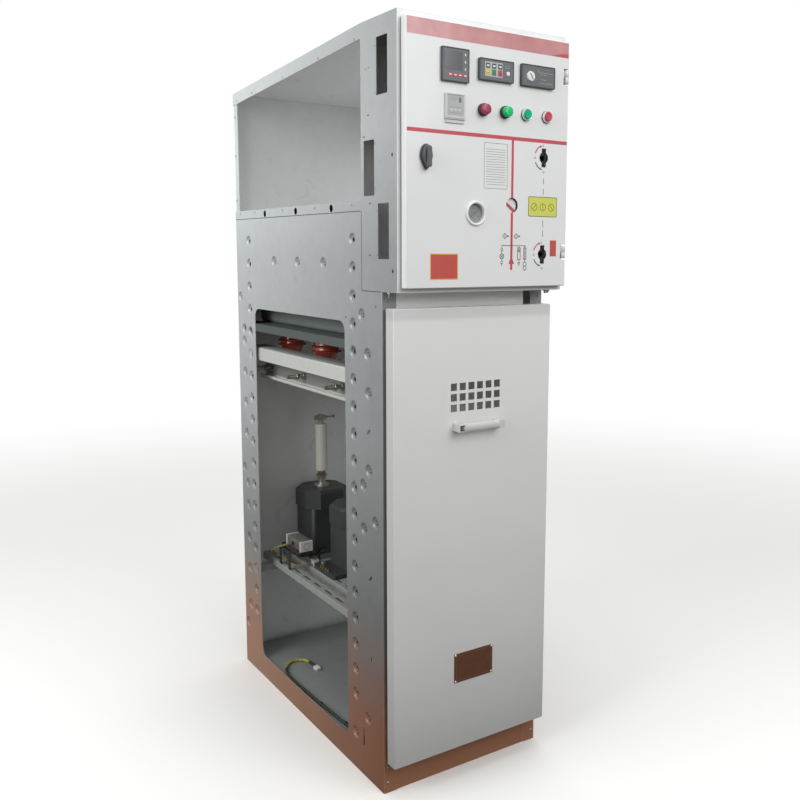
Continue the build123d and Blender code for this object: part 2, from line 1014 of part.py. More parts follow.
# Beam studs: a threaded stud with two nuts for each phase, through the beam's web
def beam_studs():
    studs = []
    web_x = left_x + beam_left + beam_depth
    level = beam_stud_z
    for y in phase_places:
        rod = along_x(y, level, web_x - stud_length, web_x + 24, beam_stud_radius)
        nut = Rot(0, 90, 0) * extrude(RegularPolygon(nut_across / 2, 6, major_radius=False), amount=nut_thick)
        studs.append(rod + Pos(web_x, y, level) * nut)
    return Compound(studs)


# Cable rails: open channels along the compartment, hung from two crossbars
def cable_rails():
    rails = []
    y_low = front_y + rail_front
    y_high = front_y + rail_rear
    for x in rail_lines:
        rail = block(
            x - rail_width / 2, x + rail_width / 2, y_low, y_high, rail_bottom, rail_top
        )
        rail -= block(
            x - rail_width / 2 + sheet,
            x + rail_width / 2 - sheet,
            y_low - 1,
            y_high + 1,
            rail_bottom - 1,
            rail_top - sheet,
        )
        rails.append(rail)
    terminal_x = rail_lines[1] - terminal_size[0] / 2 + terminal_offset
    rails[1] += block(
        terminal_x,
        terminal_x + terminal_size[0],
        lead_end_y - terminal_size[1] / 2,
        lead_end_y + terminal_size[1] / 2,
        rail_top - sheet,
        rail_top + terminal_size[2],
    )
    return Compound(rails)


def rail_crossbars():
    bars = []
    for y in (rail_front + crossbar_inset, rail_rear - crossbar_inset):
        bars.append(
            block(
                left_x + sheet,
                right_x - sheet,
                front_y + y - crossbar_depth / 2,
                front_y + y + crossbar_depth / 2,
                rail_bottom - crossbar_height,
                rail_bottom,
            )
        )
    return Compound(bars)


# Current transformers: cast resin blocks with an eight-sided head, standing on the cable rails
def current_transformer(y):
    length = transformer_length
    depth = transformer_depth
    cap_low = rail_top + transformer_height - transformer_cap
    plan = Rectangle(length, depth)
    plan = chamfer(plan.vertices(), transformer_chamfer)
    head = Pos(0, y, cap_low) * extrude(plan, amount=transformer_cap)
    head = chamfer(head.faces().sort_by(Axis.Z)[-1].edges(), 8)
    core = Rectangle(length - 2 * transformer_waist, depth - 2 * transformer_waist)
    core = fillet(core.vertices(), 14)
    waist = Pos(0, y, rail_top) * extrude(core, amount=transformer_height - transformer_cap)
    foot = Rectangle(transformer_foot, depth - transformer_waist)
    foot = fillet(foot.vertices(), 8)
    base = Pos(0, y, rail_top) * extrude(foot, amount=foot_thick)
    return head + waist + base


# Post insulators: a resin post between a metal foot and a clamp, one on each transformer
def post_insulator(y):
    low = rail_top + transformer_height
    post_low = low + insulator_foot
    post_high = post_low + insulator_length
    r = insulator_radius
    outline = [
        (0, low),
        (insulator_flange, low),
        (insulator_flange, low + 8),
        (r - 8, low + 12),
        (r - 8, post_low - 10),
        (r, post_low - 4),
        (r, post_high),
        (r - 6, post_high + 4),
        (r - 6, post_high + insulator_head),
        (0, post_high + insulator_head),
    ]
    shape = Plane.XZ * make_face(Polyline(*outline, close=True))
    return Pos(0, y, 0) * revolve(shape, Axis.Z)


# Anti-condensation heater: a finned box on two feet over the left-hand rails
def heater():
    x = heater_across
    y_low = rear_y - heater_rear_margin
    y_high = y_low + heater_length
    low = rail_top + heater_lift
    body = block(
        x - heater_width / 2, x + heater_width / 2, y_low, y_high, low, low + heater_height
    )
    pitch = heater_length / (heater_fins + 1)
    for n in range(heater_fins):
        y = y_low + pitch * (n + 1)
        for side in (-1, 1):
            edge = x + side * heater_width / 2
            body -= block(
                edge - fin_depth, edge + fin_depth, y - pitch / 4, y + pitch / 4, low - 1, low + heater_height + 1
            )
    side_x = x - heater_width / 2
    return body + along_x(
        lead_exit_y, lead_exit_z, side_x - lead_gland_length, side_x + 2 * fin_depth, lead_gland_radius
    )


def heater_feet():
    """Z-shaped feet from the two left-hand rails up to the heater."""
    feet = []
    x_low = rail_lines[0] - rail_width / 2
    x_high = rail_lines[1] + rail_width / 2
    for behind in (20, heater_length - 20):
        y = rear_y - heater_rear_margin + behind
        left_leg = block(x_low, x_low + sheet, y - 8, y + 8, rail_top, rail_top + heater_lift)
        right_leg = block(x_high - sheet, x_high, y - 8, y + 8, rail_top, rail_top + heater_lift)
        bridge = block(
            x_low, x_high, y - 8, y + 8, rail_top + heater_lift - sheet, rail_top + heater_lift
        )
        feet.append(left_leg + right_leg + bridge)
    return Compound(feet)


# Free wiring: round cords along straight runs, joined by the widest arcs that the runs allow
def cord_tube(points, diameter):
    radii = []
    corners = [Vector(*point) for point in points]
    for before, corner, after in zip(corners, corners[1:], corners[2:]):
        first = corner - before
        second = after - corner
        half_turn = math.radians(first.get_angle(second)) / 2
        radii.append(arc_share * min(first.length, second.length) / math.tan(half_turn))
    route = FilletPolyline(*points, radius=radii)
    section = Plane(origin=route @ 0, z_dir=route % 0) * Circle(diameter / 2)
    tube = sweep(section, path=route)
    ideal = route.length * math.pi * diameter**2 / 4
    print("cord length", round(route.length), "radii from", round(min(radii)), "volume", tube.volume / ideal)
    return tube


# Wiring loom: out of the front rail's gland and along the floor's left edge to a loop
def wiring_loom():
    level = loom_z
    gland_end_y = front_y + 2 * sheet + loom_gland_length
    return cord_tube(
        [
            (left_x + loom_gland_across, gland_end_y, level),
            (left_x + loom_gland_across, -325, level),
            (-214, -250, level),
            (-221, -175, level),
            (-226, -100, level),
            (-230, -25, level),
            (-233, 45, level),
            (-235, 115, level),
            (-236, 180, level),
            (-233, 237, level),
            (-214, 285, level),
            (-184, 307, level),
            (-150, 297, level),
            (-137, 263, level),
            (*loom_end, level),
        ],
        loom_diameter,
    )


# Loom connector: a moulded plug housing on the loom's free end
def loom_connector():
    wide, long, tall = connector_size
    loom_end_x, loom_end_y = loom_end
    housing = block(
        loom_end_x - wide / 2,
        loom_end_x + wide / 2,
        loom_end_y - long,
        loom_end_y,
        floor_height + cord_clearance,
        floor_height + cord_clearance + tall,
    )
    return fillet(housing.edges().filter_by(Axis.Y), connector_edge)


# Heater lead: from the heater's gland in a loop to the rail and along it to the terminal block
def heater_lead():
    level = lead_z
    start_x = heater_across - heater_width / 2 - lead_gland_length
    return cord_tube(
        [
            (start_x, lead_exit_y, lead_exit_z),
            (-196, lead_exit_y, lead_exit_z),
            (-212, 344, 446),
            (-214, 374, 432),
            (-208, 402, 414),
            (-190, 418, 400),
            (-168, 404, 390),
            (-168, 370, level),
            (-170, 335, level),
            (-164, 303, level),
            (-143, lead_end_y, level),
            (rail_lines[1] - terminal_size[0] / 2 + terminal_offset, lead_end_y, level),
        ],
        lead_diameter,
    )


pieces = {
    "left_side_wall": left_side_wall(),
    "right_side_wall": side_wall(1),
    "rear_wall": rear_wall(),
    "base_front_rail": base_front_rail(),
    "base_rear_rail": base_rear_rail(),
    "floor_plate": floor_plate(),
    "front_crossmember": front_crossmember(),
    "frame_studs": frame_studs(),
    "busbar_floor": busbar_floor(),
    "roof_panel": roof_panel(),
    "upper_rear_wall": upper_rear_wall(),
    "upper_right_wall": upper_right_wall(),
    "box_left_side": box_left_side(),
    "box_right_side": box_right_side(),
    "box_top": box_top(),
    "box_bottom": box_bottom(),
    "box_back": box_back(),
    "box_front_frame": box_front_frame(),
    "door_gasket": door_gasket(),
    "mechanism_plate": mechanism_plate(),
    "hinge_bases": hinge_bases(),
    "load_switch_shaft": operating_shaft(load_shaft_z),
    "earth_switch_shaft": operating_shaft(earth_shaft_z),
    "position_indicator": position_indicator(),
    "instrument_door": instrument_door(),
    "hinge_knuckles": hinge_knuckles(),
    "power_meter": power_meter(),
    "live_display": live_display(),
    "fault_indicator": fault_indicator(),
    "humidity_controller": humidity_controller(),
    "lamp_red": signal_lamp(lamp_places[0]),
    "lamp_green": signal_lamp(lamp_places[1]),
    "button_collars": button_collars(),
    "button_green": push_button(button_places[0]),
    "button_red": push_button(button_places[1]),
    "gas_gauge": gas_gauge(),
    "lock_plate": lock_plate_piece(),
    "lock_grip": lock_grip(),
    "front_cover": front_cover(),
    "cover_hooks": cover_hooks(),
    "cover_handle": cover_handle(),
    "cover_plate": cover_plate(),
    "switch_tank": switch_tank(),
    "tank_angles": tank_angles(),
    "phase_bushings": phase_bushings(),
    "support_beam": support_beam(),
    "beam_studs": beam_studs(),
    "cable_rails": cable_rails(),
    "rail_crossbars": rail_crossbars(),
    "heater": heater(),
    "heater_feet": heater_feet(),
    "wiring_loom": wiring_loom(),
    "loom_connector": loom_connector(),
    "heater_lead": heater_lead(),
}
for number, y in enumerate(phase_places, 1):
    pieces["current_transformer_" + str(number)] = current_transformer(y)
    pieces["post_insulator_" + str(number)] = post_insulator(y)

for name, solid in pieces.items():
    save(solid, name)
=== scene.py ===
import math
import bmesh
import bpy
from mathutils import Matrix, Vector


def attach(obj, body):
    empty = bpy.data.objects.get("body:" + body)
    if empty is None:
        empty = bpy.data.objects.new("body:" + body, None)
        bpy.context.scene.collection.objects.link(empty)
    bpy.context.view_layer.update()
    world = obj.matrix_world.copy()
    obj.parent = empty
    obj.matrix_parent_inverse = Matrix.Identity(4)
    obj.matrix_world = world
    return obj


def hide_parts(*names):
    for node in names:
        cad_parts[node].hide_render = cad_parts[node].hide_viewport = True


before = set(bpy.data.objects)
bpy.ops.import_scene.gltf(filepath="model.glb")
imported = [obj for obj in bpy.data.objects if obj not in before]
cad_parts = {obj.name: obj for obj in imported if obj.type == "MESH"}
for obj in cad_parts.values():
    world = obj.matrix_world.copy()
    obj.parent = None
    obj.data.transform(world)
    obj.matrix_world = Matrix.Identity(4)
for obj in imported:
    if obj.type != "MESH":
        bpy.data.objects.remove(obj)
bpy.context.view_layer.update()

# Camera: at eye height to the left of the front, so that the door, the cover and the open left
# side all show. Its place, turn and shifted lens are fitted to the edges in the photo.


def stand(name, data):
    """Puts a new object with this data into the scene."""
    made = bpy.data.objects.new(name, data)
    bpy.context.scene.collection.objects.link(made)
    return made


def spun(place, degrees, axis="Z"):
    """The placement turned about one of its own axes."""
    return place @ Matrix.Rotation(math.radians(degrees), 4, axis)


camera_yaw = -34.34
camera_pitch = -7.61
camera_roll = 0.34
camera_data = bpy.data.cameras.new("camera")
camera_data.lens = 40.68
camera_data.sensor_width = 36
camera_data.shift_x = -0.0684
camera_data.shift_y = -0.0343
camera = stand("camera", camera_data)
camera_heading = spun(Matrix.Translation((-1.33707, -2.32, 1.40048)), camera_yaw)
camera.matrix_world = spun(spun(camera_heading, 90 + camera_pitch, "X"), camera_roll)
bpy.context.scene.camera = camera
bpy.context.scene.view_settings.view_transform = "Standard"

# Studio: a plain pale floor that keeps the shadow and fades into the white world behind it,
# and soft light from large areas above the front and the open side. The floor throws only a
# dim brown light back, as a workshop floor does, so that upright faces darken downwards.


def linear(colour):
    """An sRGB colour in hex, as the shaders take it."""
    levels = [int(colour[i : i + 2], 16) / 255 for i in (1, 3, 5)]
    return [v / 12.92 if v <= 0.04045 else ((v + 0.055) / 1.055) ** 2.4 for v in levels] + [1.0]


def fit_out(tree, node, values):
    """Gives a node its properties, ramp stops and socket values, and links to its inputs from
    sockets or from the first output in use of other nodes."""
    for name, value in values.items():
        if isinstance(value, bpy.types.Node):
            value = next(socket for socket in value.outputs if socket.enabled)
        if isinstance(value, bpy.types.NodeSocket):
            tree.links.new(value, node.inputs[name])
        elif name == "stops":
            while len(node.color_ramp.elements) < len(value):
                node.color_ramp.elements.new(0.5)
            for stop, (position, colour) in zip(node.color_ramp.elements, value):
                stop.position = position
                stop.color = colour
        elif isinstance(name, int) or name in node.inputs:
            node.inputs[name].default_value = value
        else:
            setattr(node, name, value)


def add(tree, kind, values=None):
    """Adds a node with its settings and links."""
    node = tree.nodes.new("ShaderNode" + kind)
    fit_out(tree, node, values or {})
    return node


def inside(look):
    """A material's node tree and its shader."""
    return look.node_tree, look.node_tree.nodes["Principled BSDF"]


def surface(name, values):
    """A new material with these values on its shader."""
    made = bpy.data.materials.new(name)
    made.use_nodes = True
    fit_out(*inside(made), values)
    return made


floor_span = 60
floor_corners = [(x * floor_span, y * floor_span, 0) for x, y in ((-1, -1), (1, -1), (1, 1), (-1, 1))]
floor_mesh = bpy.data.meshes.new("studio_floor")
floor_mesh.from_pydata(floor_corners, [], [(0, 1, 2, 3)])
floor_look = surface(
    "pale floor", {"Base Color": linear("#e9e9e7"), "Roughness": 0.8, "Specular IOR Level": 0.2}
)
tree, shader = inside(floor_look)
reach = add(tree, "VectorMath", {"operation": "LENGTH", 0: add(tree, "TexCoord").outputs["Object"]})
fade = add(
    tree, "MapRange", {"interpolation_type": "SMOOTHSTEP", "From Min": 1.4, "From Max": 5.5, "Value": reach}
)
white = add(tree, "Emission", {"Color": (1, 1, 1, 1), "Strength": 1})
dim = add(tree, "BsdfDiffuse", {"Color": linear("#625b55")})
near = add(tree, "MixShader", {0: fade, 1: shader, 2: white})
whole = add(tree, "MixShader", {0: add(tree, "LightPath"), 1: dim, 2: near})
fit_out(tree, tree.nodes["Material Output"], {"Surface": whole})
floor_mesh.materials.append(floor_look)
stand("studio_floor", floor_mesh)

world = bpy.data.worlds.new("studio")
world.use_nodes = True
tree = world.node_tree
tree.nodes.clear()
light = add(tree, "Background", {"Color": linear("#f6f6f5"), "Strength": 0.73})
white = add(tree, "Background", {"Color": (1, 1, 1, 1), "Strength": 1})
whole = add(tree, "MixShader", {0: add(tree, "LightPath"), 1: light, 2: white})
add(tree, "OutputWorld", {"Surface": whole})
bpy.context.scene.world = world

for name, place, aim, size, power in (
    ("front_light", (0.6, -3.4, 3.1), (0, -0.4, 1.1), 2.4, 70),
    ("side_light", (-3.6, -0.4, 2.5), (0, 0.1, 0.9), 2.6, 92),
    ("top_light", (0.2, 0.3, 4.6), (0, 0, 1), 2.4, 52),
):
    lamp = bpy.data.lights.new(name, "AREA")
    lamp.shape = "SQUARE"
    lamp.size = size
    lamp.energy = power
    turn = (Vector(aim) - Vector(place)).to_track_quat("-Z", "Y").to_matrix().to_4x4()
    stand(name, lamp).matrix_world = Matrix.Translation(place) @ turn

# Zinc-coated sheet: rolled steel with a pale blue-grey coat, cloudy over 30 mm, with smudges as
# wide as a hand and fine rolling marks. Its outer faces carry painted shade, darker downwards and
# forwards, and a painted warm brown reflection of the floor near the bottom; its inner faces are
# paler, as painted light.
# Painted shade: strengths by height that darken the outer faces towards the floor.
outer_painted_shade_stops = [
    (height_share, (strength, strength, strength, 1))
    for height_share, strength in (
        (0.14, 0.36), (0.24, 0.4), (0.48, 0.71), (0.71, 0.82), (0.87, 1.1), (0.98, 1.01)
    )
]


def zinc_look(name, dark, light, inner_dark, inner_light, roughness):
    """Zinc-coated sheet between two tones outside, with painted shade and a painted brown floor reflection,
    and two paler tones inside as painted light.
    """
    made = surface(name, {"Metallic": 0.18})
    tree, shader = inside(made)
    seen = add(tree, "TexCoord")
    here = seen.outputs["Object"]
    spot = add(tree, "SeparateXYZ", {0: here})
    lean = add(tree, "SeparateXYZ", {0: seen.outputs["Normal"]})
    cloud = add(tree, "TexNoise", {"Scale": 1000 / 30, "Detail": 3, "Vector": here})
    base, inner = [
        add(tree, "Mix", {"data_type": "RGBA", 0: cloud, 6: linear(low), 7: linear(high)})
        for low, high in ((dark, light), (inner_dark, inner_light))
    ]
    drift = add(tree, "TexNoise", {"Scale": 1000 / 220, "Detail": 1, "Vector": here})
    level = add(tree, "Math", {"operation": "MULTIPLY_ADD", 0: drift, 1: 0.03, 2: spot.outputs["Z"]})
    height_share = add(tree, "MapRange", {"From Min": 0.015, "From Max": 1.96, "Value": level})
    painted_height_shade = add(tree, "ValToRGB", {"stops": outer_painted_shade_stops, "Fac": height_share})
    depth = spot.outputs["Y"]
    # Painted shade: outer faces darker towards the front and lighter towards the rear.
    painted_depth_shade = add(
        tree, "MapRange", {"From Min": -0.47, "From Max": 0.5, "To Min": 0.8, "To Max": 1.5, "Value": depth}
    )
    painted_shade_level = add(tree, "Math", {"operation": "MULTIPLY", 0: painted_height_shade, 1: painted_depth_shade})
    painted_shade_colour = add(tree, "VectorMath", {"operation": "SCALE", 0: base, 3: painted_shade_level})
    # Painted reflection: a warm brown cast of the floor on the outer faces near the bottom.
    painted_reflection_depth = add(tree, "MapRange", {"From Min": 0.5, "From Max": -0.42, "Value": depth})
    painted_floor_reflection = add(
        tree, "Mix", {"data_type": "RGBA", 0: painted_reflection_depth, 6: linear("#b58f7a"), 7: linear("#845a43")}
    )
    frontal = add(tree, "MapRange", {"From Max": -1, "Value": lean.outputs["Y"]})
    painted_reflection_by_facing = add(tree, "Mix", {"data_type": "RGBA", 0: frontal, 6: painted_floor_reflection, 7: linear("#a07056")})
    painted_reflection_band = {"interpolation_type": "SMOOTHSTEP", "From Min": 0.52, "From Max": 0.1, "To Max": 0.97}
    painted_reflection_amount = add(tree, "MapRange", {**painted_reflection_band, "Value": level})
    outer = add(tree, "Mix", {"data_type": "RGBA", 0: painted_reflection_amount, 6: painted_shade_colour, 7: painted_reflection_by_facing})
    # Painted light: inner faces take the paler inner tones; outer faces and cut edges take the painted
    # shade.
    sideways, forwards = [
        add(tree, "Math", {"operation": "MULTIPLY", 0: lean.outputs[axis], 1: spot.outputs[axis]})
        for axis in "XY"
    ]
    forwards = add(tree, "Math", {"operation": "SUBTRACT", 0: forwards, 1: 0.2})
    outwards = add(tree, "Math", {"operation": "MAXIMUM", 0: sideways, 1: forwards})
    turned_out = add(tree, "Math", {"operation": "GREATER_THAN", 0: outwards, 1: 0.05})
    reach = add(tree, "Math", {"operation": "ABSOLUTE", 0: spot})
    cut_edge = add(tree, "Math", {"operation": "GREATER_THAN", 0: reach, 1: 0.2484})
    outside = add(tree, "Math", {"operation": "MAXIMUM", 0: turned_out, 1: cut_edge})
    colour = add(tree, "Mix", {"data_type": "RGBA", 0: outside, 6: inner, 7: outer})
    streaks = {"Scale": 1000 / 70, "Detail": 6, "Roughness": 0.65, "Distortion": 1.4}
    smear = add(tree, "TexNoise", {**streaks, "Vector": here})
    sparse = {"interpolation_type": "SMOOTHSTEP", "From Min": 0.6, "From Max": 0.74, "To Max": 0.2}
    smear_amount = add(tree, "MapRange", {**sparse, "Value": smear})
    smeared = add(tree, "Mix", {"data_type": "RGBA", 0: smear_amount, 6: colour, 7: linear("#6f7372")})
    smudge = add(tree, "TexNoise", {"Scale": 1000 / 90, "Detail": 4, "Vector": here})
    glossy = {"From Min": 0.35, "From Max": 0.65, "To Min": roughness - 0.05, "To Max": roughness + 0.07}
    gloss = add(tree, "MapRange", {**glossy, "Value": smudge})
    grain = add(tree, "TexNoise", {"Scale": 1000 / 1.6, "Detail": 2, "Vector": here})
    relief = add(tree, "Bump", {"Strength": 0.06, "Distance": 0.0002, "Height": grain})
    fit_out(tree, shader, {"Base Color": smeared, "Roughness": gloss, "Normal": relief})
    return made


zinc_sheet = zinc_look("zinc coated sheet", "#b3b8ba", "#bfc4c5", "#e2e4e4", "#ebeded", 0.46)

# Screws, nuts and rods: zinc-plated steel, a little yellower and darker than the sheet, with
# stains about 4 mm across.
screw_zinc = surface("zinc plated screw", {"Metallic": 0.8, "Roughness": 0.35})
tree, shader = inside(screw_zinc)
here = add(tree, "TexCoord").outputs["Object"]
stain = add(tree, "TexNoise", {"Scale": 1000 / 4, "Detail": 2, "Vector": here})
stained = add(tree, "Mix", {"data_type": "RGBA", 0: stain, 6: linear("#8f8d84"), 7: linear("#bdbbb0")})
fit_out(tree, shader, {"Base Color": stained})

# Side walls: 2 mm zinc-coated steel sheet, folded at the front and rear, the left one with a
# large cut-out. Each bolt hole sits in a round dish pressed inwards; blind dishes have three
# pilot holes instead, drawn as dots of painted shade. The dishes are darker than the sheet as
# painted shade, and a dark disc behind each bolt hole is painted shadow. Slots and small holes
# are punched between them.
half_width = 250
sheet = 2
front_y = -415
rear_y = 535
wall_top = 1499
box_underside = 1303
box_rear_y = -315
front_return = 40
rear_return = 25
MM = 0.001


def facing(right, up, origin=(0, 0, 0)):
    """The placement of a piece drawn flat, in millimetres: its X along right and its Y along up."""
    out = Vector(right).cross(Vector(up))
    turn = Matrix((right, up, out)).transposed().to_4x4()
    turn.translation = origin
    return turn


def moved(place, x, y, z):
    """The placement shifted along its own axes."""
    return place @ Matrix.Translation((x, y, z))


def polar(x, y, radius, degrees):
    """The point at a distance and an angle from another."""
    angle = math.radians(degrees)
    return x + radius * math.cos(angle), y + radius * math.sin(angle)


def circle(x, y, radius, count=32):
    """The outline of a circle."""
    return [polar(x, y, radius, 360 * n / count) for n in range(count)]


def square(x, y, half_x, half_y):
    """The outline of a rectangle about its middle."""
    return [(x + a * half_x, y + b * half_y) for a, b in ((-1, -1), (1, -1), (1, 1), (-1, 1))]


def rounded(x, y, half_x, half_y, radius, steps=5):
    """The outline of a rectangle with round corners about its middle."""
    points = []
    for turn, (across, up) in enumerate(((1, 1), (-1, 1), (-1, -1), (1, -1))):
        corner = (x + across * (half_x - radius), y + up * (half_y - radius))
        points += [polar(*corner, radius, 90 * (turn + n / steps)) for n in range(steps + 1)]
    return points


def settled(mesh, place):
    """A mesh drawn in millimetres, put in its place in metres."""
    mesh.transform(Matrix.Scale(MM, 4) @ place)
    return mesh


def cut_sheet(place, thick, outline, holes=(), edge=0.0):
    """A flat sheet with holes, its rear on the placement's plane and its edges broken by edge."""
    drawing = bpy.data.curves.new("drawing", "CURVE")
    drawing.dimensions = "2D"
    drawing.fill_mode = "BOTH"
    drawing.extrude = thick / 2 - edge
    drawing.bevel_depth = edge
    drawing.bevel_resolution = 0
    drawing.offset = -edge
    for ring in (outline, *holes):
        line = drawing.splines.new("POLY")
        line.points.add(len(ring) - 1)
        for point, (x, y) in zip(line.points, ring):
            point.co = (x, y, 0, 1)
        line.use_cyclic_u = True
    holder = bpy.data.objects.new("drawing", drawing)
    mesh = bpy.data.meshes.new_from_object(holder)
    bpy.data.objects.remove(holder)
    bpy.data.curves.remove(drawing)
    mesh.materials.clear()
    return settled(mesh, moved(place, 0, 0, thick / 2))


def from_bmesh(shape, place):
    """The mesh of a shape drawn in millimetres, in its place."""
    mesh = bpy.data.meshes.new("drawing")
    shape.to_mesh(mesh)
    shape.free()
    return settled(mesh, place)


def turned(place, profile, count=24):
    """A piece turned about the placement's Z, its profile a line of (radius, height)."""
    shape = bmesh.new()
    rings = []
    for radius, level in profile:
        points = circle(0, 0, radius, count) if radius else [(0, 0)]
        rings.append([shape.verts.new((x, y, level)) for x, y in points])
    for low, high in zip(rings, rings[1:]):
        for n in range(count):
            m = (n + 1) % count
            corners = [low[n % len(low)], low[m % len(low)], high[m % len(high)], high[n % len(high)]]
            face = list(dict.fromkeys(corners))
            if len(face) > 2:
                shape.faces.new(face)
    bmesh.ops.recalc_face_normals(shape, faces=shape.faces[:])
    return from_bmesh(shape, place)


def assemble(name, body, parts, slot=None, *stands_for):
    """Joins pairs of mesh and material into one piece that moves with a body."""
    shape = bmesh.new()
    looks = list(dict.fromkeys(look for mesh, look in parts))
    for mesh, look in parts:
        first = len(shape.faces)
        shape.from_mesh(mesh)
        shape.faces.ensure_lookup_table()
        for face in shape.faces[first:]:
            face.material_index = looks.index(look)
        bpy.data.meshes.remove(mesh)
    mesh = bpy.data.meshes.new(name)
    shape.to_mesh(mesh)
    shape.free()
    for look in looks:
        mesh.materials.append(look)
    mesh.shade_smooth()
    mesh.set_sharp_from_angle(angle=math.radians(38))
    piece = stand(name, mesh)
    normals = piece.modifiers.new("flat faces", "WEIGHTED_NORMAL")
    normals.keep_sharp = True
    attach(piece, body)
    if stands_for:
        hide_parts(*stands_for)


def fold(side, reach, y_outer, into, top):
    """The bend and return at one upright edge of a side wall."""
    bend = 3
    edge_x = side * (half_width - reach)
    line = [(edge_x, y_outer)]
    for angle in (-90, -60, -30, 0):
        x, y = polar(half_width - bend, bend, bend, angle)
        line.append((side * x, y_outer + into * y))
    line += [
        (side * (half_width - sheet), y_outer + into * bend),
        (side * (half_width - bend), y_outer + into * sheet),
        (edge_x, y_outer + into * sheet),
    ]
    return cut_sheet(facing((1, 0, 0), (0, 1, 0)), top, line)


# Dish zinc: a darker copy of the sheet, as painted shade in the pressed dishes.
dish_zinc_painted_shade = zinc_look("pressed zinc dish with painted shade", "#9ea3a4", "#b4b9b9", "#cfd2d2", "#d9dbdb", 0.36)
painted_hole_shade = surface("painted shade in bolt holes", {"Base Color": linear("#1b1d1c"), "Roughness": 0.9})
dish_radius = 16.5
dish_depth = 4.5
hole_radius = 6
dish_profile = [
    (dish_radius + 1.5, 0),
    (dish_radius - 0.6, -0.5),
    (dish_radius - 3.6, 0.8 - dish_depth),
    (dish_radius - 5.2, -dish_depth),
]
open_dish = dish_profile + [
    (hole_radius, -dish_depth),
    (hole_radius, -dish_depth - 1.6),
    (dish_radius - 4.2, -dish_depth - sheet + 0.3),
    (dish_radius - 2, -dish_depth - sheet + 0.5),
    (dish_radius + 1.5, -sheet),
]
# Painted shadow: a dark disc behind each bolt hole, wider than the hole.
shadow_disc_radius = hole_radius + 1.5
shadow_disc_top = -dish_depth - 1.7
hole_shadow_disc = [(0, shadow_disc_top), (shadow_disc_radius, shadow_disc_top), (shadow_disc_radius, -dish_depth - 5)]
blind_dish = dish_profile + [(2.4, -dish_depth), (1.8, -dish_depth - 0.9), (0, -dish_depth - 1)]
# Pilot holes of blind dishes: dark dots of painted shade on the dish bottom.
pilot_dots = [(4.6, -3, 2.7), (-4, 4.2, 2), (5.4, 4.4, 1.5)]
bolted = [(front_y + behind, 214 + 71.5 * n) for behind in (150, 846) for n in range(18)]


def side_wall(name, side, blinds, holes, node):
    """One side wall: the dished sheet and its two returns."""
    face = facing((0, side, 0), (0, 0, 1), (side * half_width, 0, 0))
    parts = []
    for y, z in bolted:
        place = moved(face, side * y, z, 0)
        parts += [(turned(place, open_dish), dish_zinc_painted_shade), (turned(place, hole_shadow_disc, 16), painted_hole_shade)]
    for y, z in blinds:
        place = moved(face, side * y, z, 0)
        parts.append((turned(place, blind_dish), dish_zinc_painted_shade))
        for dot_x, dot_z, radius in pilot_dots:
            dot = moved(place, dot_x, dot_z, -dish_depth - 0.2)
            parts.append((turned(dot, [(0, 0.4), (radius, 0.4), (radius, 0)], 10), painted_hole_shade))
    front, rear, step = [side * y for y in (front_y + 3, rear_y - 3, box_rear_y)]
    outline = [
        (front, 0),
        (rear, 0),
        (rear, wall_top),
        (step, wall_top),
        (step, box_underside),
        (front, box_underside),
    ]
    rounds = [circle(side * y, z, dish_radius + 1.5, 24) for y, z in bolted + blinds]
    parts += [
        (cut_sheet(moved(face, 0, 0, -sheet), sheet, outline, rounds + holes), zinc_sheet),
        (fold(side, front_return, front_y, 1, box_underside), zinc_sheet),
        (fold(side, rear_return, rear_y, -1, wall_top), zinc_sheet),
    ]
    assemble(name, "cabinet", parts, "galvanised_sheet", node)


def slanted_slot(behind, z, length, width, angle):
    """The outline of a slot turned by an angle, on the left side."""
    turn = Matrix.Rotation(math.radians(angle), 2)
    points = rounded(0, 0, length / 2, width / 2, width / 2 - 0.1, 4)
    return [tuple(turn @ Vector(p) + Vector((-(front_y + behind), z))) for p in points]


upper_blinds = [(front_y + behind, 1367) for behind in (317, 482, 647)]
front_blinds = [
    (front_y + behind, z)
    for behind, z in (
        (104, 1241), (74, 1144), (70, 1045), (71, 846), (101, 803), (99, 687), (38, 718), (85, 171),
        (153, 102),
    )
]
rear_blinds = [(front_y + 925, 1251)]
rear_blinds += [(front_y + 898, z) for z in (1149, 1110, 1008, 907, 804)]
rear_blinds += [(front_y + 925, 684)]
rear_blinds += [(front_y + 898, z) for z in (636, 562, 451, 345, 217)]
rear_blinds += [(front_y + 925, 145)]
window = rounded(-(front_y + 501), 646, 305, 574, 30, 8)
upright_slot = rounded(-(front_y + 107), 109, 3.5, 28, 3.4, 4)
small_holes = [circle(-(front_y + behind), z, 3, 12) for behind, z in ((188, 1230), (188, 661), (30, 1266))]
slots = [
    slanted_slot(70, 947, 20, 7, 45),
    slanted_slot(65, 563, 20, 7, 45),
    slanted_slot(63, 344, 12, 4, 90),
]
left_holes = [window, upright_slot, *small_holes, *slots]
side_wall("left_wall_visual", -1, upper_blinds + front_blinds + rear_blinds, left_holes, "left_side_wall")
side_wall("right_wall_visual", 1, upper_blinds, [], "right_side_wall")

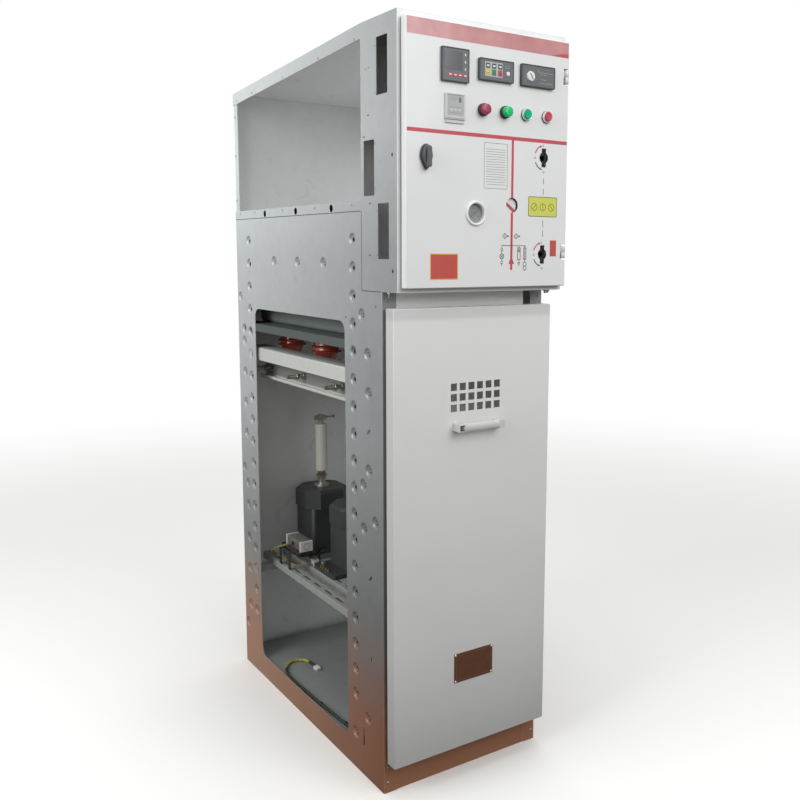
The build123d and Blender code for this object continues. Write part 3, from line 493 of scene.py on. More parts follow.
# Seams of the left side: thin dark lines of shadow and dust where its sheets meet edge to edge,
# along the wall's top, up the box's rear edge and under the box.
seam_dark = surface("seam shadow", {"Base Color": linear("#3d4140"), "Roughness": 0.9})
LEFT = ((0, -1, 0), (0, 0, 1))
left_face = facing(*LEFT, (-half_width, 0, 0))
step_z = (wall_top + box_underside) / 2
seams = [
    (cut_sheet(left_face, 0.15, square(*span)), seam_dark)
    for span in (
        (-(rear_y + box_rear_y) / 2, wall_top, (rear_y - box_rear_y) / 2 - 3, 0.9),
        (-box_rear_y, step_z, 0.9, wall_top - step_z),
        (-(front_y + box_rear_y) / 2, box_underside, (box_rear_y - front_y) / 2 - 3, 0.9),
    )
]
assemble("side_seams", "cabinet", seams)

# Plain folded sheet pieces of the body: zinc-coated sheet cut and bent on a press brake. Their
# CAD nodes show, with the edges as softly broken as a press brake leaves them.


def soften(look, nodes, width=0.0004, steps=1):
    """Shows CAD nodes with joined faces, slightly broken edges and a material."""
    for node in nodes:
        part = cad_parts[node]
        part.data.materials.clear()
        part.data.materials.append(look)
        weld = part.modifiers.new("joined faces", "WELD")
        weld.merge_threshold = 0.00001
        bevel = part.modifiers.new("broken edges", "BEVEL")
        bevel.width = width
        bevel.segments = steps
        bevel.limit_method = "ANGLE"
        bevel.angle_limit = math.radians(40)
        bevel.harden_normals = True


soften(zinc_sheet, ["rear_wall", "base_front_rail", "base_rear_rail", "busbar_floor", "roof_panel"])
soften(zinc_sheet, ["upper_rear_wall", "upper_right_wall", "box_right_side", "box_top", "box_bottom"])
soften(screw_zinc, ["frame_studs"], 0.0003)

# Instrument box: its left side is a zinc-coated sheet with three wiring slots, small pilot
# holes and narrow slits beside them, and two square nut holes. Pan-head screws hold the skirt,
# the roof and the post.
height = 1945
box_front_y = -490


def on_left(half_x, half_y, *places):
    """Rectangles of one size on the left side, at places behind the front and above the floor."""
    return [square(-(front_y + behind), z, half_x, half_y) for behind, z in places]


def screw_head(place, radius, rise):
    """A pan-head screw with a cross recess drawn as a shallow dip."""
    profile = [
        (radius, 0),
        (radius, rise * 0.5),
        (radius * 0.7, rise),
        (radius * 0.3, rise),
        (0, rise * 0.5),
    ]
    return turned(place, profile, 14), screw_zinc


pilot_holes = [
    (29, 1880), (28, 1773), (31, 1655), (29, 1549), (22, 1497), (22, 1391), (73, 1833), (59, 1835),
]
wiring_slots = on_left(26, 66, (-4, 1832), (60, 1600), (-9, 1448))
pilots = [circle(-(front_y + behind), z, 1.8, 10) for behind, z in pilot_holes]
slits = on_left(5, 1.1, (63, 1725), (85, 1676), (56, 1515), (57, 1391))
nut_holes = on_left(3.4, 4.2, (-51, 1623), (-52, 1354))
box_holes = wiring_slots + pilots + slits + nut_holes
box_outline = [
    (-y, z)
    for y, z in (
        (box_front_y + sheet, box_underside),
        (box_rear_y, box_underside),
        (box_rear_y, height),
        (box_front_y + sheet, height),
    )
]
box_side = cut_sheet(moved(left_face, 0, 0, -sheet), sheet, box_outline, box_holes)
assemble("box_left_visual", "cabinet", [(box_side, zinc_sheet)], "galvanised_sheet", "box_left_side")
skirt_screws = [(150, 1516), (365, 1516), (577, 1517), (786, 1517), (905, 1517)]
roof_screws = [(130, 1913), (330, 1901), (560, 1888), (790, 1876), (915, 1869)]
post_screws = [(936, 1560), (936, 1700), (936, 1820)]
screws = [
    screw_head(moved(left_face, -(front_y + behind), z, 0), 3, 1.6)
    for behind, z in skirt_screws + roof_screws + post_screws
]
assemble("side_screws", "cabinet", screws, "zinc_fasteners")

# Door, front frame and cover: folded sheet steel in a white powder coat, a near-white semi-gloss
# film with an orange peel about 3 mm across and a barely seen drift in tone. The cover's coat
# carries painted shade: darker towards the floor, a band of painted shadow from the box along its
# top, and darker on faces turned to the left.


def mottled(name, dark, light, patch, roughness, grain, depth, values=None):
    """A material that drifts between two colours over patches, with a fine relief, sizes in mm."""
    made = surface(name, {"Roughness": roughness, **(values or {})})
    tree, shader = inside(made)
    here = add(tree, "TexCoord").outputs["Object"]
    cloud = add(tree, "TexNoise", {"Scale": 1000 / patch, "Detail": 3, "Vector": here})
    drift = add(tree, "Mix", {"data_type": "RGBA", 0: cloud, 6: linear(dark), 7: linear(light)})
    fine = add(tree, "TexNoise", {"Scale": 1000 / grain, "Detail": 2, "Vector": here})
    relief = add(tree, "Bump", {"Strength": depth, "Distance": 0.0003, "Height": fine})
    fit_out(tree, shader, {"Base Color": drift, "Normal": relief})
    return made


def coloured_by(shader):
    """The socket that colours a shader so far."""
    return shader.inputs["Base Color"].links[0].from_socket


coat = ("#dcdfdf", "#e3e5e5", 180, 0.32, 3, 0.05, {"Coat Weight": 0.15})
soften(mottled("white powder coat", *coat), ["box_front_frame", "instrument_door"], 0.0005)
cover_paint = mottled("white powder coat of the cover", *coat)
# Painted shade: strengths by height, darker towards the floor, with a band of painted shadow from the box
# along the top.
cover_painted_shade_stops = [
    (height_share, (strength, strength, strength * 0.99, 1))
    for height_share, strength in (
        (0.08, 0.57), (0.15, 0.66), (0.31, 0.8), (0.63, 0.91), (0.9, 1), (0.947, 1.02), (0.954, 0.87)
    )
]
tree, shader = inside(cover_paint)
seen = add(tree, "TexCoord")
spot = add(tree, "SeparateXYZ", {0: seen.outputs["Object"]})
lean = add(tree, "SeparateXYZ", {0: seen.outputs["Normal"]})
height_share = add(tree, "MapRange", {"From Max": 1.3, "Value": spot.outputs["Z"]})
painted_shade_ramp = add(tree, "ValToRGB", {"stops": cover_painted_shade_stops, "Fac": height_share})
coat_with_painted_shade = add(tree, "VectorMath", {"operation": "MULTIPLY", 0: coloured_by(shader), 1: painted_shade_ramp})
# Painted shade: faces turned to the left are darkened.
painted_flank_shade = add(tree, "MapRange", {"From Min": -1, "From Max": -0.2, "To Min": 0.8, "Value": lean})
coat_with_flank_shade = add(tree, "VectorMath", {"operation": "SCALE", 0: coat_with_painted_shade, 3: painted_flank_shade})
fit_out(tree, shader, {"Base Color": coat_with_flank_shade})
soften(cover_paint, ["front_cover"], 0.0005)

# Sheet inside the body: the same zinc coat, painted pale on the inner faces as painted light, and
# a darker dull grey on the floor plate.
inside_zinc_painted_light = mottled("zinc sheet inside with painted light", "#f0f2f2", "#f8f9f9", 30, 0.5, 1.6, 0.06)
soften(inside_zinc_painted_light, ["front_crossmember", "mechanism_plate", "box_back"])
floor_zinc = mottled("dark grey zinc floor", "#7d8180", "#8c908f", 40, 0.55, 1.6, 0.1, {"Metallic": 0.15})
soften(floor_zinc, ["floor_plate"])

# Support beam and cover hooks: matt zinc-coated steel, 3 mm thick and folded. The beam's tone
# falls off above its foot and away from the window, where little light reaches it.
beam_zinc = mottled("matt zinc beam", "#c6c9c5", "#d1d4d0", 30, 0.45, 1.6, 0.08, {"Metallic": 0.1})
tree, shader = inside(beam_zinc)
spot = add(tree, "SeparateXYZ", {0: add(tree, "TexCoord").outputs["Object"]})
foot_band = {"From Min": 0.999, "From Max": 1.003, "To Min": -0.25, "To Max": 0}
above_foot = add(tree, "MapRange", {**foot_band, "Value": spot.outputs["Z"]})
set_back = add(tree, "Math", {"operation": "MINIMUM", 0: spot, 1: above_foot})
recess_band = {"From Min": -0.232, "From Max": -0.19, "To Min": 1, "To Max": 0.45}
recess_tone = add(tree, "MapRange", {**recess_band, "Value": set_back})
recessed = add(tree, "VectorMath", {"operation": "SCALE", 0: coloured_by(shader), 3: recess_tone})
fit_out(tree, shader, {"Base Color": recessed})
soften(beam_zinc, ["support_beam", "cover_hooks"])

# Door hinges and gasket: two pale cast hinges whose halves interlock on a pin, and a strip of
# black rubber on the frame, dull and faintly grained.
hinge_cast = mottled("pale cast hinge", "#c3c6c5", "#d3d5d4", 20, 0.4, 1.5, 0.08, {"Metallic": 0.2})
soften(hinge_cast, ["hinge_bases", "hinge_knuckles"], 0.0005, 2)
soften(mottled("gasket rubber", "#1b1c1c", "#2a2b2b", 12, 0.8, 1.2, 0.2), ["door_gasket"])

# Door films and prints: a red film across the top, a red rule, and the single-line diagram with
# its symbols, all thin plastic films stuck on the paint. The fields are plain.
FRONT = ((1, 0, 0), (0, 0, 1))
door_front_y = -513
door_face = facing(*FRONT, (-half_width, door_front_y, 0))
film_thick = 0.15
thin_line = 1.5
red_film = mottled("red cover film", "#ad686e", "#d09897", 45, 0.3, 30, 1, {"Coat Weight": 0.3})
line_red = mottled("red print", "#bd4450", "#c44c58", 40, 0.4, 2, 0.05)
line_dark, line_green, plate_yellow, plate_red, plate_gold = [
    mottled(name, dark, light, 20, roughness, 2, 0.05)
    for name, dark, light, roughness in (
        ("dark print", "#1f2223", "#2a2d2e", 0.5),
        ("green print", "#46635a", "#4f6d63", 0.5),
        ("yellow label", "#c9cc55", "#d2d462", 0.4),
        ("red label", "#bb4942", "#c3524a", 0.4),
        ("gold border", "#d8a24a", "#dfb05c", 0.4),
    )
]
prints = []


def printed(look, outline, holes=(), thick=film_thick, lift=0.0):
    """One film on the door, or on another film where it is lifted."""
    prints.append((cut_sheet(moved(door_face, 0, 0, lift), thick, outline, holes), look))


def stroke(look, width, x_start, z_start, x_end, z_end, *layer):
    """A straight printed line between two points."""
    start = Vector((x_start, z_start))
    end = Vector((x_end, z_end))
    along = (end - start).normalized() * width / 2
    side = Vector((-along.y, along.x))
    printed(look, [tuple(p) for p in (start - side, end - side, end + side, start + side)], (), *layer)


def arc(look, x, z, start, stop):
    """A printed arc with an arrow head at its stop end."""
    radius, half_line, arrow, steps = 30, 1.5, 7, 12
    angles = [start + (stop - start) * n / steps for n in range(steps + 1)]
    outer = [polar(x, z, radius + half_line, angle) for angle in angles]
    inner = [polar(x, z, radius - half_line, angle) for angle in angles]
    printed(look, outer + inner[::-1])
    base = [polar(x, z, radius + side * arrow * 0.45, stop) for side in (1, -1)]
    tip = stop + math.copysign(math.degrees(arrow / radius), stop - start)
    printed(look, base + [polar(x, z, radius, tip)])


def ring(x, z, outer, inner, count=32, *layer):
    """A printed dark ring."""
    printed(line_dark, circle(x, z, outer, count), [circle(x, z, inner, count)], *layer)


film_x = 251.75
film_half = 240.25
printed(red_film, square(film_x, 1907, film_half, 18.5))
printed(line_red, [(435, 1889), (492, 1889), (492, 1899), (470, 1897)], (), 0.1, film_thick)
printed(line_red, square(film_x, 1678, film_half, 4.5))
mimic_x = 317
stroke(line_red, 7, mimic_x, 1674, mimic_x, 1534)
stroke(line_red, 7, mimic_x, 1497, mimic_x, 1356)
printed(line_red, [(mimic_x - 9, 1371), (mimic_x + 9, 1371), (mimic_x, 1392)], (), 0.1, film_thick)
symbol_z = 1440
for x, arrow_x in ((296, 307), (331, 342)):
    z = symbol_z
    outer, inner = [[(x - a, z), (x, z + b), (x + a, z), (x, z - b)] for a, b in ((8, 7.5), (5.9, 5.5))]
    printed(line_dark, outer, [inner])
    stroke(line_dark, thin_line, x, z + 3, x, z - 3)
    printed(line_dark, [(arrow_x - 3, z + 2.5), (arrow_x - 3, z - 2.5), (arrow_x + 3, z)])
bar_z = 1416.5
lamp_x = 287
lamp_ring_z = 1390
switch_x = 341
coil_x = 360
stroke(line_dark, thin_line, lamp_x, bar_z, coil_x + 4, bar_z)
for top, low in ((bar_z, 1408), (1404, 1397), (1383, 1376), (1372, 1366)):
    stroke(line_dark, thin_line, lamp_x, top, lamp_x, low)
for z in (1408, 1404, 1376, 1372):
    stroke(line_dark, thin_line, lamp_x - 4, z, lamp_x + 4, z)
ring(lamp_x, lamp_ring_z, 7, 5.4)
for rise in (-4.5, 4.5):
    stroke(line_dark, thin_line, lamp_x - 4.5, lamp_ring_z - rise, lamp_x + 4.5, lamp_ring_z + rise)
stroke(line_dark, thin_line, switch_x, bar_z, switch_x, 1404)
printed(
    line_dark, rounded(switch_x, 1396.5, 5, 15.5, 0.3, 1), [rounded(switch_x, 1396.5, 3.4, 13.9, 0.2, 1)]
)
printed(line_dark, [(switch_x - 2.8, 1406), (switch_x + 2.8, 1406), (switch_x, 1398)])
stroke(line_dark, thin_line, switch_x, 1381, switch_x, 1374)
for n in range(3):
    z = 1374 - 3 * n
    stroke(line_dark, thin_line, switch_x - 5 + n * 1.6, z, switch_x + 5 - n * 1.6, z)
stroke(line_dark, thin_line, coil_x, bar_z, coil_x, 1376)
printed(line_dark, rounded(coil_x, 1397, 4.5, 15, 0.3, 1), [rounded(coil_x, 1397, 2.9, 13.4, 0.2, 1)])
for z in (1370.5, 1360.4):
    ring(coil_x, z, 5.8, 4.3)
socket_x = 417
for socket_z in (1637, 1395):
    arc(line_red, socket_x, socket_z, 160, 114)
    arc(line_green, socket_x, socket_z, 204, 246)
    ring(389, socket_z - 1, 2.8, 1.9, 16)
    ring(416, socket_z - 35, 3, 2.1, 16)
    stroke(line_dark, 1.1, 414, socket_z + 27, 414, socket_z + 32.5)
for top, low in ((1586, 1572), (1560, 1546), (1481, 1463), (1456, 1440)):
    stroke(line_dark, thin_line, socket_x, top, socket_x, low)
note_x = 265.5
printed(line_dark, rounded(note_x, 1608.5, 35.5, 54.5, 3), [rounded(note_x, 1608.5, 34.7, 53.7, 2.6)])
for n in range(15):
    stroke(line_dark, 0.7, 236, 1648 - 6 * n, 295, 1648 - 6 * n)
printed(plate_red, square(115, 1365, 40, 31))
printed(plate_gold, square(115, 1365, 40, 31), [square(115, 1365, 37.6, 28.6)], 0.1, film_thick)
printed(plate_red, square(452.5, 1410.5, 10.5, 20.5))
dial_z = 1515
printed(line_dark, rounded(416, dial_z, 47, 25, 4), (), 0.12)
printed(plate_yellow, rounded(416, dial_z, 45.5, 23.5, 3.4), (), 0.1, 0.1)
for x, angle in ((388, 45), (416, 90), (444, 135)):
    ring(x, dial_z - 1, 9.5, 8.3, 32, 0.08, 0.17)
    ends = (*polar(x, dial_z - 1, 9, angle + 180), *polar(x, dial_z - 1, 9, angle))
    stroke(line_dark, 1.2, *ends, 0.08, 0.17)
assemble("door_films", "instrument_door", prints, "white_paint")

# Panel meter: a moulded black housing pushed through the door, with a shallow rim round a
# recessed face, a smoked window, a red strip with four white keys and three range marks.
instrument_z = 1832
housing_black = mottled("moulded black housing", "#45494c", "#4e5255", 30, 0.42, 0.9, 0.12)
face_dark = mottled("meter face film", "#5c6063", "#666a6c", 25, 0.35, 1.5, 0.06)
window_glass = mottled("smoked window", "#565a5e", "#5c6064", 25, 0.12, 6, 0.02)
mark_white = mottled("white mark", "#d9dbda", "#e4e5e4", 10, 0.45, 1.5, 0.05)
key_red = mottled("red key strip", "#a83a45", "#b3444f", 12, 0.4, 1.5, 0.08)


def blocks(place, *rows):
    """Boxes with broken edges and their materials, each row a material, the width and the steps
    of its edges, and its low and high ends along X, Y and Z."""
    parts = []
    for look, edge, steps, *ends in rows:
        shape = bmesh.new()
        bmesh.ops.create_cube(shape, size=1)
        spans = list(zip(ends[::2], ends[1::2]))
        for corner in shape.verts:
            corner.co = [(low + high) / 2 + c * (high - low) for c, (low, high) in zip(corner.co, spans)]
        if edge:
            bmesh.ops.bevel(
                shape, geom=shape.edges[:], offset=edge, segments=steps, profile=0.5, affect="EDGES"
            )
        parts.append((from_bmesh(shape, place), look))
    return parts


def housing(x, half_x, half_z, rear_x, rear_z, deep, rise, corner):
    """The rim, the face and the rear body of one instrument, and its place on the door."""
    place = moved(door_face, x, instrument_z, 0)
    rim_hole = rounded(0, 0, half_x - 3, half_z - 3, 1.2)
    rim = cut_sheet(place, rise, rounded(0, 0, half_x, half_z, corner), [rim_hole], 0.9)
    face = (face_dark, 0, 1, 2.5 - half_x, half_x - 2.5, 2.5 - half_z, half_z - 2.5, 0, rise - 1.2)
    rear = (housing_black, 1, 1, -rear_x, rear_x, -rear_z, rear_z, -deep, 0.1)
    return place, [(rim, housing_black), *blocks(place, face, rear)]


place, meter = housing(141, 38.5, 38.5, 33, 33, 62, 8, 2)
meter += blocks(
    place,
    (window_glass, 0.2, 1, -31, 19, -12, 31, 6.7, 7.1),
    (key_red, 0.2, 1, -24, 32, -26.5, -19.5, 6.7, 7.2),
    *[(mark_white, 0.5, 2, x - 3.6, x + 3.6, -24.6, -21.4, 7, 8) for x in (-15.4, -1.4, 12, 26.3)],
    *[(mark_white, 0, 1, 25.4, 28.8, z - 2.4, z + 2.4, 6.7, 7) for z in (25, 8.5, -8)],
)
assemble("power_meter_visual", "instrument_door", meter, "instrument_black", "power_meter")

# Live display: the same kind of black housing with a light membrane, three coloured phase
# columns, each with a window and a lamp, and a white test key.
membrane = mottled("silver membrane", "#a8acab", "#b9bcba", 14, 0.4, 1.5, 0.06)
place, display = housing(260, 51.5, 25.5, 45, 22, 48, 9, 3)
display += blocks(place, (membrane, 0.2, 1, -36, 17, -16, 18, 7.7, 8.1))
for x, name, dark, light in (
    (-27, "phase yellow", "#c9b447", "#d2bf55"),
    (-9, "phase green", "#237a58", "#2c8763"),
    (9, "phase red", "#a9304a", "#b53a54"),
):
    look = mottled(name, dark, light, 8, 0.35, 1.5, 0.06)
    display += blocks(
        place,
        (window_glass, 0.3, 1, x - 6.2, x + 6.2, 3, 15, 8, 8.5),
        (mark_white, 0.1, 1, x - 3.6, x + 3.6, 7, 11, 8.4, 8.7),
        (look, 0.3, 1, x - 6.2, x + 6.2, -13, 1, 8, 8.5),
    )
    display.append((turned(moved(place, x, -6, 8.4), [(3, 0), (3, 0.8), (2, 1.2), (0, 1.3)], 16), look))
test_key = [(5.2, 0), (5.2, 1.6), (4.4, 2.2), (0, 2.4)]
display.append((turned(moved(place, 33, -4.5, 7.7), test_key, 20), mark_white))
display += blocks(
    place, *[(membrane, 0, 1, x, x + 4.5, z, z + 1, 7.7, 8) for x in (25, 32) for z in (8, 13)]
)
assemble("live_display_visual", "instrument_door", display, "instrument_black", "live_display")

# Fault indicator: a black housing whose face has a white turning knob with a dark bar, beside
# thin ruled lines.
place, fault = housing(389, 53.5, 26.5, 45, 22, 48, 9, 3)
knob_place = moved(place, -25.5, -2.3, 7.8)
knob = [(12.5, 0), (12.5, 0.8), (11.6, 1.2), (11.4, 3.6), (10.2, 4.6), (3, 4.8), (0, 4.8)]
fault.append((turned(knob_place, knob, 32), mark_white))
fault += blocks(spun(knob_place, -58), (housing_black, 0.3, 1, -9, 9, -1.1, 1.1, 4.6, 5.4))
rules = ((2, 44, 9.5), (4, 12, 4.5), (17, 25, 4.5), (8, 24, -7), (2, 44, -15.5))
fault += blocks(
    place,
    *[(membrane, 0, 1, x_low, x_high, z, z + 0.7, 7.7, 7.95) for x_low, x_high, z in rules],
    (membrane, 0, 1, -2, -1.3, 9.5, 17, 7.7, 7.95),
)
assemble("fault_indicator_visual", "instrument_door", fault, "instrument_black", "fault_indicator")

# Humidity controller: a light grey moulding with a paler ruled face, three keys, a small window
# and a terminal step below.
lamp_z = 1738
controller_grey = mottled("light grey moulding", "#c2c5c5", "#cdcfcf", 20, 0.4, 0.9, 0.1)
controller_face = mottled("grey dial face", "#a5a9aa", "#b1b4b4", 16, 0.35, 1.5, 0.05)
place = moved(door_face, 142, lamp_z, 0)
rim = cut_sheet(place, 6, rounded(0, 0, 28, 30, 2), [rounded(0, 2, 23, 24, 1)], 0.8)
rules = ((-18, 4, 19), (-18, 4, 15), (-16, 16, -2), (-16, 16, -15))
controller = [(rim, controller_grey)] + blocks(
    place,
    (controller_face, 0, 1, -23.5, 23.5, -22.5, 26.5, 0, 4.4),
    (controller_grey, 1, 1, -22.5, 22.5, -22.5, 22.5, -40, 0.1),
    (controller_face, 0.4, 1, -25, 25, -28, -24.5, 5.5, 6.4),
    (controller_grey, 0.6, 1, -26.5, 26.5, -38, -30, 0, 3.4),
    (face_dark, 0.3, 1, 10, 16.5, 10, 21, 4.3, 5),
    *[(face_dark, 0, 1, x_low, x_high, z, z + 0.6, 4.3, 4.6) for x_low, x_high, z in rules],
    *[(controller_grey, 0.3, 1, x - 3, x + 3, -10, -5, 4.3, 5) for x in (-11, 0, 11)],
)
assemble("controller_visual", "instrument_door", controller, "controller_grey", "humidity_controller")

# Signal lamps: a ribbed collar of black nylon, screwed against the door, and a coloured moulded
# lens whose inner surface is beaded.
collar_black = mottled("black nylon collar", "#26292a", "#303334", 15, 0.45, 0.9, 0.1)
lens = [(13.2, 8.5), (13.2, 10.5), (12.6, 11), (12.4, 18), (11.9, 19.8), (10.8, 20.7), (6, 21), (0, 21)]


def lens_look(name, dark, light):
    """Clear coloured plastic with beads 2.6 mm across, each painted lighter in its middle and darker at its
    rim as a painted highlight and shade, over a real relief.
    """
    clear = {"Roughness": 0.16, "Coat Weight": 0.1, "Subsurface Weight": 0.1, "Subsurface Scale": 0.004}
    made = surface(name, clear)
    tree, shader = inside(made)
    here = add(tree, "TexCoord").outputs["Object"]
    beads = add(tree, "TexVoronoi", {"Scale": 1000 / 2.6, "Vector": here})
    # Painted highlight: each bead lighter in its middle and darker at its rim.
    bead_painted_highlight = add(tree, "Mix", {"data_type": "RGBA", 0: beads, 6: linear(light), 7: linear(dark)})
    relief = add(tree, "Bump", {"Strength": 0.35, "Distance": 0.0004, "Height": beads})
    fit_out(tree, shader, {"Base Color": bead_painted_highlight, "Normal": relief})
    return made


def ribbed_collar(place, rise):
    """A collar with a ribbed rim, so that fingers can turn it, and its material."""
    ribs = 30
    outline = [polar(0, 0, 15 - 0.5 * (n % 2), 180 * n / ribs) for n in range(2 * ribs)]
    return cut_sheet(place, rise, outline, [], 0.4), collar_black


for colour, x, dark, light in (("red", 224, "#862b42", "#b0445c"), ("green", 290, "#009a56", "#00e288")):
    place = moved(door_face, x, lamp_z, 0)
    parts = [
        ribbed_collar(place, 9),
        (turned(place, lens, 40), lens_look(colour + " lens", dark, light)),
        (turned(place, [(0, -42), (11, -42), (11, 0.2)]), collar_black),
    ]
    assemble(f"lamp_{colour}_visual", "instrument_door", parts, "lens_" + colour, "lamp_" + colour)

# Push-buttons: a black collar behind a bright metal ring, with a sleeve behind the door and a
# flat coloured cap that slides in it.
ring_chrome = mottled("bright ring", "#d6d8d7", "#ebeceb", 6, 0.25, 4, 0.05, {"Metallic": 0.55})
cap_green = mottled("green cap", "#00a87b", "#00b988", 10, 0.3, 1.5, 0.05, {"Specular IOR Level": 0.15})
cap_red = mottled("red cap", "#bb3049", "#c83b54", 10, 0.28, 1.5, 0.05, {"Coat Weight": 0.3})
bright = [(11.4, 1.2), (14.6, 1.2), (14.6, 6.6), (14, 8.2), (12.8, 9), (11.8, 8.8), (11.4, 8), (11.4, 1.2)]
sleeve = [(0, -42), (11, -42), (11, 0.2), (11, 1.2), (6.4, 1.2), (6.4, -38), (0, -38)]
cap = [(0, -20.5), (6, -20.5), (6, 6), (11, 6), (11, 11.2), (10.4, 12), (8.6, 11.7), (0, 11.4)]
collars = []
caps = []
for colour, x, look in (("green", 356, cap_green), ("red", 422, cap_red)):
    place = moved(door_face, x, lamp_z, 0)
    collars += [
        ribbed_collar(place, 3.6),
        (turned(place, bright, 40), ring_chrome),
        (turned(place, sleeve), collar_black),
    ]
    caps.append((colour, (turned(place, cap, 40), look)))
assemble("button_collars_visual", "instrument_door", collars, "collar_metal", "button_collars")
for colour, part in caps:
    assemble(f"button_{colour}_visual", colour + "_button", [part], "cap_" + colour, "button_" + colour)

# Gas gauge: a white moulded ring round a recessed window, with a dim grey worn dial and its
# pointer behind glass, and a black body behind the door.
gauge_white = mottled("white moulded ring", "#e0e1e0", "#e8e9e8", 12, 0.25, 1.5, 0.04, {"Coat Weight": 0.3})
gauge_dial = mottled("worn dial", "#5f6565", "#a2a7a6", 5, 0.35, 1.2, 0.3)
place = moved(door_face, 206, 1493, 0)
gauge_ring = [
    (26, 0.1), (30, 0.1), (30, 2.6), (29, 4.2), (27.4, 5), (25.6, 4.8), (23.8, 3.4), (23.4, 1.4),
    (23.2, -6),
]
gauge = [
    (turned(place, gauge_ring, 56), gauge_white),
    (turned(place, [(23.3, -5), (21, -6), (0, -6)], 40), gauge_dial),
    (turned(place, [(26, 0.2), (26, -22), (0, -22)], 40), collar_black),
    *blocks(spun(place, 38), (face_dark, 0.2, 1, -13, 12, -1, 0.4, -5.8, -5.2)),
]
assemble("gas_gauge_visual", "instrument_door", gauge, "gauge_ring", "gas_gauge")

# Door lock: an egg-shaped escutcheon and a grip, both moulded in dark grey, on a zinc-plated
# spindle with a cam behind the door. A quarter turn opens it.
lock_grey = mottled("dark grey moulding", "#4c5053", "#575b5d", 18, 0.38, 1, 0.12)
place = moved(door_face, 62, 1618, 0)


def egg(half_tall, wide, lower_wide):
    """An egg-shaped outline, wider above than below."""
    points = []
    for n in range(40):
        across, rise = polar(0, 0, 1, 9 * n)
        reach = wide if rise > 0 else wide + (lower_wide - wide) * -rise
        points.append((reach * across, half_tall * rise))
    return points


plate = [(cut_sheet(place, 4, egg(30, 17, 8), [circle(0, 0, 8.3, 24)], 0.8), lock_grey)]
assemble("lock_plate_visual", "instrument_door", plate, "lock_grey", "lock_plate")
grip = [
    (cut_sheet(moved(place, 0, 0, 4.3), 9, egg(27, 13.5, 5.5), [], 2.2), lock_grey),
    (cut_sheet(moved(place, 0, 0, 12.3), 9.7, rounded(0, 0, 5.5, 24, 5, 6), [], 2), lock_grey),
    (turned(place, [(0, 5), (8, 5), (8, -13), (0, -13)]), screw_zinc),
    *blocks(place, (screw_zinc, 0.4, 1, -8, 8, -28, 8, -13, -10)),
]
assemble("lock_grip_visual", "lock", grip, "lock_grey", "lock_grip")

# Operating shafts and position indicator: sockets of blackened steel with a key bar, seen
# through the door's keyhole cut-outs, and a white enamelled disc on a spindle with a red bar
# printed across it. The dark ring round the disc's edge is painted shadow of the keyhole's rim.
shaft_black = mottled("blackened steel", "#24282a", "#363b3d", 12, 0.34, 1.2, 0.12, {"Metallic": 0.5})
soften(shaft_black, ["load_switch_shaft", "earth_switch_shaft"], 0.0008, 2)
indicator_white = mottled("white enamel disc", "#dcdedd", "#e5e6e5", 15, 0.35, 2, 0.04)
indicator_y = -506
place = facing(*FRONT, (mimic_x - half_width, indicator_y, 1516))
disc = [
    (turned(place, [(0, -3), (23.6, -3), (24, -2.6), (24, -0.4), (23.6, 0), (0, 0)], 48), indicator_white),
    # Painted shadow: a dark ring round the disc's edge, where the keyhole's rim shades it.
    (turned(place, [(24, 0.05), (24, 0.25), (17.6, 0.25), (17.6, 0.05)], 48), shaft_black),
    *blocks(spun(moved(place, -1, -5, 0), -36), (line_red, 0, 1, -17.5, 17.5, -4, 4, 0.05, 0.3)),
    (turned(place, [(5, -1), (5, -104), (0, -104)], 20), shaft_black),
]
assemble("indicator_visual", "position_indicator", disc, "indicator_white", "position_indicator")

# Cover handle: a cast bow with squared ends in grey enamel, on two feet against the cover, with
# a small bright fastener in its left end.
cover_front_y = -464
cover_x = -3.5
handle_z = 962
cover_face = facing(*FRONT, (cover_x, cover_front_y, 0))
handle_paint = mottled("handle enamel", "#c3c5c3", "#cdcfcd", 25, 0.3, 1.5, 0.08, {"Coat Weight": 0.2})
bar_place = facing((0, 1, 0), (0, 0, 1), (cover_x, cover_front_y - 25.5, handle_z))
bar_end = [(8.6, 44), (9, 47), (9.8, 50), (9.8, 57), (9.2, 58), (0, 58)]
bar = [(radius, -along) for radius, along in bar_end[::-1]] + bar_end
handle = [(turned(bar_place @ Matrix.Diagonal((0.7, 1.3, 1, 1)), bar, 28), handle_paint)]
for side in (-1, 1):
    for inner, outer, below, above, low, high, edge, steps in (
        (53, 71, 10.5, 10.5, 19, 31.8, 1.6, 2),
        (57, 70.5, 10.5, 9, 0, 22, 1.6, 2),
        (54, 71, 11, 10.5, 0, 3, 1, 1),
    ):
        span = sorted((side * inner, side * outer))
        row = (handle_paint, edge, steps, *span, handle_z - below, handle_z + above, low, high)
        handle += blocks(cover_face, row)
place = moved(cover_face, -62, handle_z, 31.4)
handle += [
    (cut_sheet(place, 0.8, rounded(0, 0, 8.5, 8.5, 2), [rounded(0, 0, 6.5, 6.5, 1)], 0.2), ring_chrome),
    *blocks(place, (collar_black, 0, 1, -6.6, 6.6, -6.6, 6.6, 0.2, 0.5)),
    (turned(moved(place, 1.5, 0, 0.3), [(4.6, 0), (4.6, 0.4), (2.6, 0.5), (0, 0.2)], 20), screw_zinc),
]
assemble("cover_handle_visual", "front_cover", handle, "handle_grey", "cover_handle")

